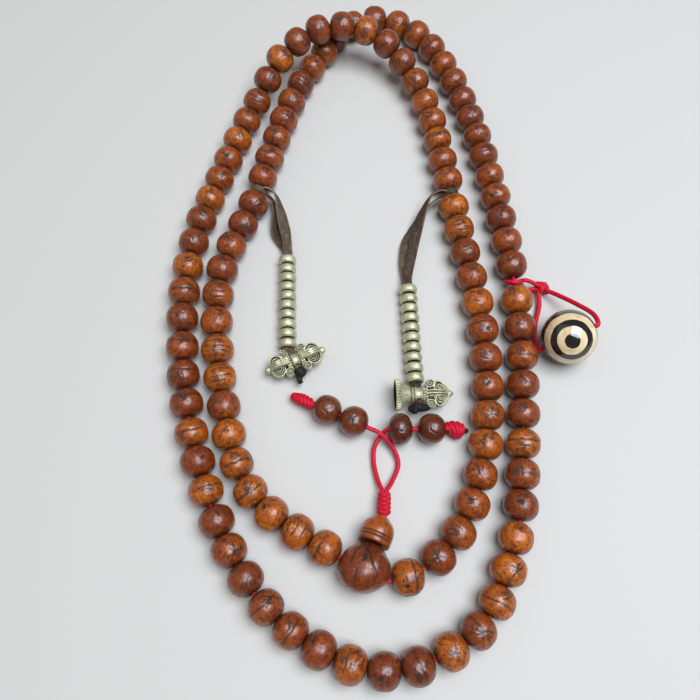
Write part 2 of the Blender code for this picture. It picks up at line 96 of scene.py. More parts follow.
# ---- cords, straps and holes
BRAID_PITCH = 1.15
STRAND_CORD_R = 0.55
NECK_CORD_R = 0.95
LOOP_R = 0.66
CHARM_CORD_R = 0.72
STRIP_AROUND = 28
STRIP_THICK = 0.68
BAND_HALF_WIDTH = 0.98
BAND_HALF_THICKNESS = 0.38
BAND_AROUND = 72
HOLE_AROUND = 28

# ---- metal pieces
RING_R = 2.86
RING_HALF = 1.42
RING_BORE = 2.08
RING_COUNT = 10
HUB_BORE = 1.35
METAL_VOXEL = 0.11
LEATHER_VOXEL = 0.13

# ---- the eye bead and its hitch: the rings in degrees from the eye's middle
CHARM_R = 8.25
EYE_LEAN = 0.21
EYE_WAY = -53.0
CREAM_RINGS = ((15.6, 31.0), (46.5, 66.0))
HITCH_R = 2.25
HITCH_LEAN = 1.15

# ---- strand beads that stand out, by number: how light, and the main mark
LIGHT_BEADS = {1, 6, 7, 11, 14, 15, 18, 19, 20, 24, 28, 32, 35, 38, 44, 46, 53, 56, 58, 59, 60, 63, 68,
               100, 101, 103, 104, 105, 106, 107, 108}
DARK_BEADS = {2, 13, 22, 23, 25, 26, 27, 29, 36, 37, 40, 42, 43, 45, 47, 49, 52, 54, 55, 61, 64, 65, 67,
              69, 71, 74, 76, 77, 83, 85, 88, 94, 95, 97}
GIRDLED = {1, 10, 18, 30, 39, 41, 42, 43, 44, 46, 50, 51, 55, 57, 58, 62, 63, 66, 75, 80, 92, 104, 105, 108}
STREAKED = {14, 30, 53, 88, 98, 100, 101, 107}
STARRED = {2, 6, 7, 33, 48, 56, 57, 59, 70, 90, 96}
PITTED = {1, 4, 8, 10, 38, 40, 52, 54, 61, 72, 87, 99, 106}


# ------------------------------------------------------------- plain geometry
def unit(v):
    v = np.asarray(v, float)
    return v / np.linalg.norm(v)


def units(rows):
    return rows / np.linalg.norm(rows, axis=1)[:, None]


def heading(degrees, drop=0.0):
    turn, dip = math.radians(degrees), math.radians(drop)
    return np.array([math.cos(turn) * math.cos(dip), math.sin(turn) * math.cos(dip), -math.sin(dip)])


def distances(places):
    """How far along a line of places each one is."""
    return np.concatenate([[0.0], np.cumsum(np.linalg.norm(np.diff(places, axis=0), axis=1))])


def rounded(values, power):
    """Power of the values that keeps their sign: it squares a circle off."""
    return np.sign(values) * np.abs(values) ** power


def cylinder(radius, theta, height):
    """Local places from a radius, an angle and a height."""
    return np.stack([radius * np.cos(theta), radius * np.sin(theta), height], -1)


def out_of(axes, local):
    """World places of local ones about a centre and three axes."""
    centre, x, y, z = axes
    return centre + local[..., :1] * x + local[..., 1:2] * y + local[..., 2:3] * z


def through(points, steps=16):
    """Smooth curve through the points, with tangents weighted by distance."""
    knots = np.array(points, float)
    knots = np.vstack([2 * knots[0] - knots[1], knots, 2 * knots[-1] - knots[-2]])
    curve = []
    for i in range(1, len(knots) - 2):
        before, start, end, after = knots[i - 1:i + 3]
        a = math.sqrt(np.linalg.norm(start - before))
        b = math.sqrt(np.linalg.norm(end - start))
        c = math.sqrt(np.linalg.norm(after - end))
        leave = (end - start) + b * ((start - before) / a - (end - before) / (a + b))
        arrive = (end - start) + b * ((after - end) / c - (after - start) / (b + c))
        for k in range(steps):
            t = k / steps
            curve.append((2 * t ** 3 - 3 * t * t + 1) * start + (t ** 3 - 2 * t * t + t) * leave
                         + (3 * t * t - 2 * t ** 3) * end + (t ** 3 - t * t) * arrive)
    curve.append(knots[-2])
    return np.array(curve)


def path(points, step=0.3):
    """Smooth curve through the points with places a fixed step apart."""
    curve = through(points)
    along = distances(curve)
    at = np.linspace(0.0, along[-1], max(3, int(round(along[-1] / step))) + 1)
    return np.stack([np.interp(at, along, curve[:, k]) for k in range(3)], -1)


def ripples(points, rand, wave, count=8):
    """Smooth irregular field around zero, made of crossing waves."""
    total = np.zeros(len(points))
    for _ in range(count):
        way = unit(rand.normal(size=3)) * 2 * math.pi / (wave * rand.uniform(0.7, 1.5))
        total += np.sin(points @ way + rand.uniform(0, 2 * math.pi))
    return total / math.sqrt(count)


def string_beads():
    """Centre, axis and half thickness of every bead along the strand."""
    curve = through(LAY, 24)
    steps = np.linalg.norm(np.diff(curve, axis=0), axis=1)
    along = np.concatenate([[0.0], np.cumsum(steps)])
    share = np.ones(len(steps))
    for middle, width, change in THICKNESS_DRIFT:
        share += change * np.exp(-((curve[:-1, 1] - middle) / width) ** 2)
    count = np.concatenate([[0.0], np.cumsum(steps / share)])
    slack = np.zeros(BEAD_COUNT)
    for bead, extra in SLACK_AFTER.items():
        slack[bead:] += extra
    for bead in SWING_GAPS:
        slack[bead:] += SWING_SLACK
    first = np.interp(FIRST_BEAD_AT, along, count)
    last = np.interp(along[-1] - LAST_BEAD_AT, along, count)
    pitch = (last - first - slack[-1]) / (BEAD_COUNT - 1)
    at = np.interp(first + pitch * np.arange(BEAD_COUNT) + slack, count, along)
    half = (pitch * np.interp(at, along[:-1], share) - BEAD_GAP) / 2.0

    def point(distance):
        return np.array([np.interp(distance, along, curve[:, k]) for k in range(3)])

    return {i + 1: (point(at[i]), unit(point(at[i] + half[i]) - point(at[i] - half[i])), half[i])
            for i in range(BEAD_COUNT)}


beads = string_beads()


def near_face(bead):
    centre, axis, half = beads[bead]
    return centre - axis * half


def far_face(bead):
    centre, axis, half = beads[bead]
    return centre + axis * half


def gap_after(bead):
    return (far_face(bead) + near_face(bead + 1)) / 2.0


def gap_axis(bead):
    return unit(near_face(bead + 1) - far_face(bead))


# --------------------------------------------------------------- mesh helpers
# A grid is rings x places x columns: x, y, z, then local x, y, z, then extras.
def frames(places, closed=False, up=None):
    """Tangent, side and normal at each place of a path."""
    if closed:
        ahead = np.roll(places, -1, 0) - np.roll(places, 1, 0)
    else:
        ahead = np.gradient(places, axis=0)
    tangent = units(ahead)
    if up is not None:
        side = units(np.cross(tangent, up))
        return tangent, side, np.cross(side, tangent)
    side = np.zeros_like(tangent)
    start = np.cross(tangent[0], UP if abs(tangent[0][2]) < 0.9 else np.array([1.0, 0.0, 0.0]))
    side[0] = unit(start)
    for k in range(1, len(places)):
        side[k] = unit(side[k - 1] - tangent[k] * (tangent[k] @ side[k - 1]))
    if closed:
        back = unit(side[-1] - tangent[0] * (tangent[0] @ side[-1]))
        twist = math.atan2(np.cross(back, side[0]) @ tangent[0], back @ side[0])
        turn = (np.arange(len(places)) / len(places) * twist)[:, None]
        side = side * np.cos(turn) + np.cross(tangent, side) * np.sin(turn)
    return tangent, side, np.cross(side, tangent)


def shell(grid, loop=False):
    """Vertices and faces of a closed body made of rings, facing out."""
    rings, around, columns = grid.shape
    k = np.arange(rings if loop else rings - 1)[:, None]
    j = np.arange(around)[None, :]
    quads = np.stack([k * around + j, k * around + (j + 1) % around,
                      (k + 1) % rings * around + (j + 1) % around, (k + 1) % rings * around + j], -1)
    verts = grid.reshape(-1, columns)
    faces = quads.reshape(-1, 4).tolist()
    if not loop:
        verts = np.vstack([verts, grid[0].mean(0), grid[-1].mean(0)])
        tip, tail, last = rings * around, rings * around + 1, (rings - 1) * around
        for n in range(around):
            faces.append([(n + 1) % around, n, tip])
            faces.append([last + n, last + (n + 1) % around, tail])
    corners = verts[quads.reshape(-1, 4), :3]
    middle = verts[:, :3].mean(0)
    a, b, c, d = (corners[:, n] - middle for n in range(4))
    volume = (np.einsum("ij,ij->i", a, np.cross(b, c)) + np.einsum("ij,ij->i", a, np.cross(c, d))).sum()
    if volume < 0:
        faces = [face[::-1] for face in faces]
    return verts, faces


def mesh_from(name, shells, extras=()):
    """One mesh of several closed bodies, with local coordinates and extras."""
    verts = np.vstack([s[0] for s in shells])
    faces, start = [], 0
    for part, part_faces in shells:
        faces += [[i + start for i in face] for face in part_faces]
        start += len(part)
    mesh = bpy.data.meshes.new(name)
    mesh.from_pydata((verts[:, :3] * MM).tolist(), [], faces)
    write(mesh, "local", verts[:, 3:6] if verts.shape[1] >= 6 else verts[:, :3])
    for n, extra in enumerate(extras):
        write(mesh, extra, verts[:, 6 + n])
    return mesh


def write(mesh, name, values):
    """Store a value for each vertex, which the finishes read by its name."""
    values = np.ascontiguousarray(values, np.float32)
    kind, key = ("FLOAT_VECTOR", "vector") if values.ndim == 2 else ("FLOAT", "value")
    slot = mesh.attributes.get(name) or mesh.attributes.new(name, kind, "POINT")
    slot.data.foreach_set(key, values.ravel())


def coordinates(mesh):
    """Places of the vertices in millimetres."""
    flat = np.zeros(len(mesh.vertices) * 3, np.float32)
    mesh.vertices.foreach_get("co", flat)
    return flat.reshape(-1, 3).astype(float) / MM


def move_to(mesh, places):
    mesh.vertices.foreach_set("co", (places * MM).astype(np.float32).ravel())


def placed(name, data):
    """A new object of the scene that shows the data."""
    thing = bpy.data.objects.new(name, data)
    bpy.context.scene.collection.objects.link(thing)
    return thing


def add(name, mesh, coat, body, *nodes, sharp=60):
    """A finished piece that rides on a body and stands for CAD nodes."""
    mesh.polygons.foreach_set("use_smooth", [True] * len(mesh.polygons))
    if sharp:
        mesh.set_sharp_from_angle(angle=math.radians(sharp))
    mesh.materials.clear()
    mesh.materials.append(coat)
    piece = placed(name, mesh)
    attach(piece, body)
    if nodes:
        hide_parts(*nodes)
    return piece


def ring_angles(around):
    return np.linspace(0, 2 * math.pi, around, endpoint=False)


def tube(places, radius, around=18, closed=False, weave=0.035):
    """Round cord with rounded ends; weave is the height of its braid."""
    pitch = BRAID_PITCH
    tangent, side, normal = frames(places, closed)
    along = distances(places)
    radius = np.broadcast_to(np.asarray(radius, float), len(places)).copy()
    if closed:
        whole = along[-1] + np.linalg.norm(places[0] - places[-1])
        pitch = whole / max(1, round(whole / pitch))
    else:
        rises = np.radians([80, 60, 35])
        head = np.array([places[0] - tangent[0] * radius[0] * math.sin(a) for a in rises])
        tail = np.array([places[-1] + tangent[-1] * radius[-1] * math.sin(a) for a in rises[::-1]])
        along = np.concatenate([along[0] - radius[0] * np.sin(rises), along,
                                along[-1] + radius[-1] * np.sin(rises[::-1])])
        places = np.vstack([head, places, tail])
        radius = np.concatenate([radius[0] * np.cos(rises), radius, radius[-1] * np.cos(rises[::-1])])
        side = np.vstack([np.repeat(side[:1], 3, 0), side, np.repeat(side[-1:], 3, 0)])
        normal = np.vstack([np.repeat(normal[:1], 3, 0), normal, np.repeat(normal[-1:], 3, 0)])
    theta = ring_angles(around)
    out = np.cos(theta)[None, :, None] * side[:, None] + np.sin(theta)[None, :, None] * normal[:, None]
    lump = weave * np.cos(4 * theta)[None, :] * np.cos(2 * math.pi * along / pitch)[:, None]
    reach = radius[:, None] + lump * (radius / max(radius.max(), 1e-6))[:, None]
    xyz = places[:, None] + out * reach[:, :, None]
    local = cylinder(reach, theta, np.repeat(along[:, None], around, 1))
    return shell(np.concatenate([xyz, local], -1), closed)


def strip(places, width, thick, roll=0.0, cup=0.0, lift=0.0):
    """Flat leather strip; roll in degrees turns it about its length."""
    tangent, side, normal = frames(places, up=UP)
    count = len(places)
    width, thick, roll, cup = (np.broadcast_to(np.asarray(v, float), count)
                               for v in (width, thick, roll, cup))
    along = distances(places)
    turn = np.radians(roll)[:, None]
    side, normal = side * np.cos(turn) + normal * np.sin(turn), normal * np.cos(turn) - side * np.sin(turn)
    theta = ring_angles(STRIP_AROUND)
    flat = rounded(np.cos(theta), 0.36)
    high = rounded(np.sin(theta), 0.5)
    x = width[:, None] / 2 * flat
    y = thick[:, None] / 2 * high + cup[:, None] * (flat ** 2)[None, :] + lift
    xyz = places[:, None] + x[:, :, None] * side[:, None] + y[:, :, None] * normal[:, None]
    local = np.stack([x, y, np.repeat(along[:, None], STRIP_AROUND, 1)], -1)
    edge = np.repeat(np.abs(flat)[None, :], count, 0)[:, :, None]
    return shell(np.concatenate([xyz, local, edge], -1))


def turned(outline, around, axes, ribs=None, loop=True):
    """Turned body about the third axis; ribs(theta, r, z) shifts r."""
    theta = ring_angles(around)
    r = np.array([p[0] for p in outline], float)[:, None] * np.ones(around)
    h = np.array([p[1] for p in outline], float)[:, None] * np.ones(around)
    if ribs is not None:
        r = ribs(theta[None, :], r, h)
    local = cylinder(r, theta, h)
    return shell(np.concatenate([out_of(axes, local), local], -1), loop)


def axes_for(centre, along, toward=UP):
    """Centre and three axes: the third along, the first facing toward."""
    z = unit(along)
    x = np.asarray(toward, float) - z * (np.asarray(toward, float) @ z)
    if np.linalg.norm(x) < 1e-3:
        x = np.array([1.0, 0.0, 0.0]) - z * z[0]
    x = unit(x)
    return np.asarray(centre, float), x, np.cross(z, x), z


def dense(points, step):
    """Outline with places a step apart and its corners slightly rounded."""
    points = np.array(points, float)
    along = distances(points)
    at = np.linspace(0.0, along[-1], int(along[-1] / step) + 2)
    line = np.stack([np.interp(at, along, points[:, k]) for k in range(2)], -1)
    line[1:-1] = (line[:-2] + 2 * line[1:-1] + line[2:]) / 4
    return line


def cast(name, shells, voxel, smoothing=2):
    """Overlapping closed bodies joined into one, as if cast together."""
    rough = placed(name + "_rough", mesh_from(name + "_rough", [(v[:, :3], f) for v, f in shells]))
    remesh = rough.modifiers.new("join", "REMESH")
    remesh.mode = "VOXEL"
    remesh.voxel_size = voxel * MM
    relax = rough.modifiers.new("relax", "SMOOTH")
    relax.factor = 0.5
    relax.iterations = smoothing
    return applied(name, rough)


def applied(name, rough, *cutters):
    """Mesh of an object with its modifiers applied; the objects go."""
    bpy.context.view_layer.update()
    graph = bpy.context.evaluated_depsgraph_get()
    mesh = bpy.data.meshes.new_from_object(rough.evaluated_get(graph))
    mesh.name = name
    for used in (rough, *cutters):
        bpy.data.objects.remove(used, do_unlink=True)
    return mesh


def drill(mesh, holes):
    """The mesh with straight holes cut through it: (start, end, radius)."""
    body = placed("drilled", mesh)
    cutters = []
    for start, end, radius in holes:
        axes = axes_for(start, np.asarray(end) - start)
        length = np.linalg.norm(np.asarray(end) - start)
        rod = turned([(radius, 0), (radius, length)], HOLE_AROUND, axes, loop=False)
        cutter = placed("rod", mesh_from("rod", [rod]))
        step = body.modifiers.new("hole", "BOOLEAN")
        step.operation = "DIFFERENCE"
        step.solver = "EXACT"
        step.object = cutter
        cutters.append(cutter)
    return applied("drilled", body, *cutters)


def to_local(mesh, axes):
    """Local coordinates of a mesh about a centre and three axes."""
    centre, x, y, z = axes
    gap = coordinates(mesh) - centre
    write(mesh, "local", np.stack([gap @ x, gap @ y, gap @ z], -1))


# -------------------------------------------------------------------- finishes
class Coat:
    """A Principled material and short ways to add nodes to it."""

    def __init__(self, name, **inputs):
        self.material = bpy.data.materials.new(name)
        self.material.use_nodes = True
        self.tree = self.material.node_tree
        self.shader = self.tree.nodes["Principled BSDF"]
        for key, value in inputs.items():
            self.set(self.shader.inputs[key.replace("_", " ")], value)

    def set(self, socket, value):
        if isinstance(value, bpy.types.NodeSocket):
            self.tree.links.new(value, socket)
        elif isinstance(value, (tuple, list)) and len(value) == 3 and socket.type == "RGBA":
            socket.default_value = (*value, 1.0)
        else:
            socket.default_value = value

    def node(self, kind, inputs=(), **settings):
        made = self.tree.nodes.new(kind)
        for key, value in settings.items():
            setattr(made, key, value)
        for key, value in dict(inputs).items():
            self.set(made.inputs[key], value)
        return made

    def attribute(self, name, output="Fac"):
        return self.node("ShaderNodeAttribute", attribute_name=name).outputs[output]

    def maths(self, operation, a, b=0.0, clamp=False):
        return self.node("ShaderNodeMath", {0: a, 1: b}, operation=operation, use_clamp=clamp).outputs[0]

    def times(self, a, b):
        return self.maths("MULTIPLY", a, b)

    def plus(self, a, b, clamp=False):
        return self.maths("ADD", a, b, clamp)

    def minus(self, a, b):
        return self.maths("SUBTRACT", a, b)

    def most(self, a, b):
        return self.maths("MAXIMUM", a, b)

    def vectors(self, operation, a, b):
        """Vector maths; a scale takes its amount from another socket."""
        inputs = {0: a, 3 if operation == "SCALE" else 1: b}
        return self.node("ShaderNodeVectorMath", inputs, operation=operation).outputs[0]

    def stretch(self, vector, by):
        return self.vectors("MULTIPLY", vector, by)

    def noise(self, vector, scale, detail=4.0, rough=0.55, distort=0.0, output=0):
        made = self.node("ShaderNodeTexNoise", {"Vector": vector, "Scale": scale, "Detail": detail,
                                                "Roughness": rough, "Distortion": distort})
        return made.outputs[output]

    def warp(self, vector, scale, amount):
        """The vector pushed about by noise."""
        push = self.noise(vector, scale, 3.0, output=1)
        push = self.vectors("SCALE", self.vectors("SUBTRACT", push, (0.5, 0.5, 0.5)), amount)
        return self.vectors("ADD", vector, push)

    def cells(self, vector, scale, feature="F1"):
        return self.node("ShaderNodeTexVoronoi", {"Vector": vector, "Scale": scale},
                         feature=feature).outputs["Distance"]

    def band(self, value, low, high, start=0.0, end=1.0):
        """Smooth step from start at low to end at high."""
        return self.node("ShaderNodeMapRange", {0: value, 1: low, 2: high, 3: start, 4: end},
                         interpolation_type="SMOOTHSTEP", clamp=True).outputs[0]

    def mix(self, share, a, b, blend="MIX"):
        return self.node("ShaderNodeMix", {0: share, 6: a, 7: b},
                         data_type="RGBA", blend_type=blend).outputs[2]

    def over(self, base, top, value, low, high, most=1.0):
        """The top colour laid over the base as the value goes from low to high."""
        return self.mix(self.band(value, low, high, 0.0, most), base, top)

    def bump(self, height, depth):
        """Relief of a height between 0 and 1 and a depth in millimetres."""
        return self.node("ShaderNodeBump",
                         {"Height": height, "Distance": depth * MM, "Strength": 1.0}).outputs[0]

    def finish(self, colour=None, roughness=None, normal=None):
        for key, value in (("Base Color", colour), ("Roughness", roughness), ("Normal", normal)):
            if value is not None:
                self.set(self.shader.inputs[key], value)
        return self.material


def seed_coat(name, dark, warm, bright, figure=1.0, polish=0.0):
    """Bodhi seed: fine mottle, veins, dashes toward the ends, dark cracks, and painted shade at its ends and in
    its bore.
    """
    c = Coat(name, Coat_Weight=0.55, Coat_Roughness=0.24, Specular_IOR_Level=0.45)
    place = c.attribute("local", "Vector")
    tone = c.attribute("tone")
    crack = c.attribute("crack")
    rim = c.attribute("rim")
    drift = c.noise(place, 0.26, 3.0, 0.5, 0.6)
    mottle = c.noise(place, 0.95, 7.0, 0.66, 0.9)
    fibre = c.noise(c.stretch(place, (1.0, 1.0, 0.3)), 2.6, 5.0, 0.68, 0.4)
    grain = c.noise(place, 5.5, 4.0, 0.7)
    patch = c.noise(place, 0.38, 3.0, 0.55, 0.4)
    colour = c.over(dark, warm, mottle, 0.32, 0.54)
    colour = c.over(colour, c.over(warm, bright, mottle, 0.4, 0.6), drift, 0.44, 0.66, 0.6)
    colour = c.over(colour, dark, fibre, 0.52, 0.70, 0.5)
    colour = c.over(colour, dark, grain, 0.52, 0.68, 0.55)
    tint = c.over((1.0, 0.80, 0.85), (1.0, 1.12, 0.95), tone, 0.65, 1.4)
    colour = c.mix(1.0, colour, tint, "MULTIPLY")
    colour = c.node("ShaderNodeHueSaturation",
                    {"Value": tone, "Saturation": 1.04, "Color": colour}).outputs[0]
    veins = c.cells(c.warp(place, 0.75, 1.5), 0.62, "DISTANCE_TO_EDGE")
    hairs = c.cells(c.warp(c.stretch(place, (1.0, 1.0, 0.7)), 1.3, 0.8), 1.45, "DISTANCE_TO_EDGE")
    dashes = c.cells(c.warp(c.stretch(place, (1.5, 1.5, 0.6)), 1.2, 0.5), 1.0)
    ends = c.band(rim, 0.35, 0.85)
    vein = c.times(c.band(veins, 0.045, 0.008), c.band(patch, 0.47, 0.57, 0.0, 0.9 * figure))
    hair = c.times(c.band(hairs, 0.075, 0.015),
                   c.band(c.minus(patch, c.times(ends, 0.12)), 0.53, 0.42, 0.0, 0.7 * figure))
    dash = c.times(c.band(dashes, 0.24, 0.13), c.plus(c.times(ends, 0.75), 0.15 * figure))
    line = c.most(c.most(vein, hair), dash)
    # painted shade: the seed goes near black at its ends, where it meets the next seeds, and in its bore
    colour = c.over(colour, (0.014, 0.005, 0.002), rim, 0.84, 1.0, 0.72)
    colour = c.over(colour, (0.038, 0.010, 0.003), crack, 0.7, 0.0, 0.5)
    colour = c.mix(line, colour, (0.020, 0.006, 0.002))
    ragged = c.plus(crack, c.band(grain, 0.3, 0.7, -0.07, 0.07))
    split = c.band(ragged, 0.09, -0.03)
    colour = c.mix(split, colour, (0.013, 0.006, 0.004))
    rough = c.band(fibre, 0.35, 0.75, 0.28 - polish, 0.44 - polish)
    rough = c.plus(rough, c.times(c.most(split, line), 0.3), True)
    height = c.plus(c.times(fibre, 0.5), c.times(mottle, 0.6))
    height = c.minus(height, c.times(c.most(split, line), 0.9))
    return c.finish(colour, rough, c.bump(height, 0.11))


def cord_coat(name, deep, bright):
    """Waxed braided cord: fine filaments that cross at a slant."""
    c = Coat(name, Sheen_Weight=0.06, Sheen_Roughness=0.4, Specular_IOR_Level=0.3)
    place = c.attribute("local", "Vector")
    filament = c.noise(c.stretch(place, (5.0, 5.0, 1.6)), 1.6, 5.0, 0.65)
    lay = c.noise(place, 1.1, 3.0, 0.5)
    colour = c.over(deep, bright, filament, 0.3, 0.62)
    colour = c.over(colour, deep, lay, 0.55, 0.75, 0.4)
    rough = c.band(filament, 0.3, 0.7, 0.62, 0.42)
    return c.finish(colour, rough, c.bump(filament, 0.07))


def leather_coat(name, deep, light):
    """Thin worn leather: fine grain, creases across, paler raw edges."""
    c = Coat(name, Specular_IOR_Level=0.35)
    place = c.attribute("local", "Vector")
    grain = c.cells(c.warp(place, 2.0, 0.4), 4.2)
    wear = c.noise(c.stretch(place, (1.0, 1.0, 0.35)), 0.8, 5.0, 0.65, 0.6)
    crease = c.noise(c.stretch(place, (0.35, 0.6, 2.2)), 1.3, 4.0, 0.6, 0.4)
    colour = c.over(deep, light, wear, 0.42, 0.68)
    colour = c.over(colour, tuple(v * 0.4 for v in deep), crease, 0.5, 0.66, 0.45)
    raw_edge = tuple(min(1.0, v * 2.4) for v in light)
    colour = c.over(colour, raw_edge, c.attribute("edge"), 0.86, 0.99, 0.55)
    height = c.plus(c.times(grain, 0.6), c.times(crease, 0.8))
    return c.finish(colour, c.band(wear, 0.35, 0.7, 0.78, 0.52), c.bump(height, 0.12))


def brass_coat(name, bright, dull, grime_and_shade):
    """Antique brass: pale worn faces, grime and painted shade in crevices, painted shade inside hollow bodies,
    small dents.
    """
    c = Coat(name, Metallic=0.7, Specular_IOR_Level=0.4)
    place = c.attribute("local", "Vector")
    shade = c.node("ShaderNodeAmbientOcclusion", {"Distance": 0.9 * MM},
                   samples=6, only_local=True).outputs["AO"]
    stain = c.noise(place, 0.7, 6.0, 0.7, 0.8)
    fine = c.noise(place, 3.2, 5.0, 0.65)
    dents = c.cells(c.warp(place, 1.2, 0.6), 1.2)
    hollow = c.attribute("hollow")
    colour = c.over(bright, dull, stain, 0.35, 0.66)
    colour = c.over(colour, tuple(v * 2.5 for v in grime_and_shade), fine, 0.56, 0.70, 0.5)
    # crevices darkened by ambient occlusion: partly grime in the pits, partly painted shade
    colour = c.over(colour, grime_and_shade, shade, 0.90, 0.50)
    # painted shade: the inside of a hollow body drawn near black
    colour = c.mix(hollow, colour, tuple(v * 0.16 for v in grime_and_shade))
    rough = c.plus(c.band(fine, 0.3, 0.7, 0.42, 0.58), c.band(shade, 0.9, 0.45, 0.0, 0.3), True)
    rough = c.most(rough, c.times(hollow, 0.85))
    height = c.plus(c.times(fine, 0.45), c.band(dents, 0.0, 0.35))
    return c.finish(colour, rough, c.bump(height, 0.05))


def eye_coat(name):
    """Polished agate with rings about the eye axis, by angle in degrees."""
    c = Coat(name, Coat_Weight=0.6, Coat_Roughness=0.10, Specular_IOR_Level=0.6)
    place = c.attribute("local", "Vector")
    angle = c.plus(c.attribute("angle"), c.band(c.noise(place, 0.4, 2.0), 0.3, 0.7, -0.7, 0.7))
    cream = c.over((0.80, 0.66, 0.42), (0.62, 0.44, 0.22), c.noise(place, 0.35, 5.0, 0.6, 0.7), 0.35, 0.7)
    cream = c.over(cream, (0.45, 0.28, 0.12), c.noise(place, 2.2, 4.0), 0.55, 0.8, 0.3)
    black = c.over((0.006, 0.006, 0.007), (0.022, 0.015, 0.011), c.noise(place, 0.9, 4.0), 0.4, 0.75)
    share = 0.0
    for low, high in CREAM_RINGS:
        inside = c.times(c.band(angle, low - 0.4, low + 0.4), c.band(angle, high + 0.4, high - 0.4))
        share = c.most(share, inside)
    colour = c.mix(share, black, cream)
    pits = c.cells(place, 0.9)
    height = c.band(pits, 0.05, 0.09)
    return c.finish(colour, c.band(pits, 0.05, 0.1, 0.35, 0.07), c.bump(height, 0.03))


SEED = seed_coat("seed", (0.090, 0.015, 0.0025), (0.330, 0.067, 0.0055), (0.53, 0.140, 0.009))
GURU_SEED = seed_coat("guru_seed", (0.075, 0.013, 0.004), (0.225, 0.041, 0.006), (0.38, 0.088, 0.010), 0.8)
TOWER_SEED = seed_coat("tower_seed", (0.16, 0.034, 0.005), (0.36, 0.083, 0.008), (0.50, 0.138, 0.012),
                       0.45, 0.04)
TASSEL_SEED = seed_coat("tassel_seed", (0.060, 0.011, 0.003), (0.135, 0.028, 0.006), (0.215, 0.052, 0.010),
                        0.35, 0.10)
RED_CORD = cord_coat("red_cord", (0.26, 0.0005, 0.010), (0.68, 0.002, 0.030))
BURNT_CORD = cord_coat("burnt_cord", (0.012, 0.006, 0.006), (0.06, 0.012, 0.012))
TAUPE_LEATHER = leather_coat("taupe_leather", (0.070, 0.048, 0.028), (0.150, 0.108, 0.068))
BROWN_LEATHER = leather_coat("brown_leather", (0.040, 0.022, 0.012), (0.090, 0.055, 0.032))
BLACK_LEATHER = leather_coat("black_leather", (0.005, 0.004, 0.004), (0.020, 0.015, 0.012))
BRASS = brass_coat("brass", (0.66, 0.66, 0.46), (0.44, 0.43, 0.27), (0.050, 0.044, 0.026))
EYE_STONE = eye_coat("eye_stone")


# ------------------------------------------------------------------- the seeds
def mark_field(points, marks):
    """Distance outside the nearest mark, and how deep the marks cut."""
    start = np.concatenate([m[0][:-1] for m in marks])
    end = np.concatenate([m[0][1:] for m in marks])
    wide_a = np.concatenate([m[1][:-1] for m in marks])
    wide_b = np.concatenate([m[1][1:] for m in marks])
    depth = np.concatenate([np.full(len(m[0]) - 1, m[2]) for m in marks])
    edge = np.full(len(points), 9.0)
    cut = np.zeros(len(points))
    for a, b, wa, wb, deep in zip(start, end, wide_a, wide_b, depth):
        run = b - a
        close = np.abs(points - (a + b) / 2).max(1) < np.linalg.norm(run) / 2 + 1.6
        near = points[close] - a
        t = np.clip(near @ run / max(run @ run, 1e-9), 0, 1)
        gap = np.linalg.norm(near - t[:, None] * run, axis=1)
        wide = wa + t * (wb - wa)
        edge[close] = np.minimum(edge[close], gap - wide)
        cut[close] = np.maximum(cut[close], deep * np.exp(-(gap / (wide + 0.17)) ** 2))
    return np.clip(edge, -0.5, 2.0), cut


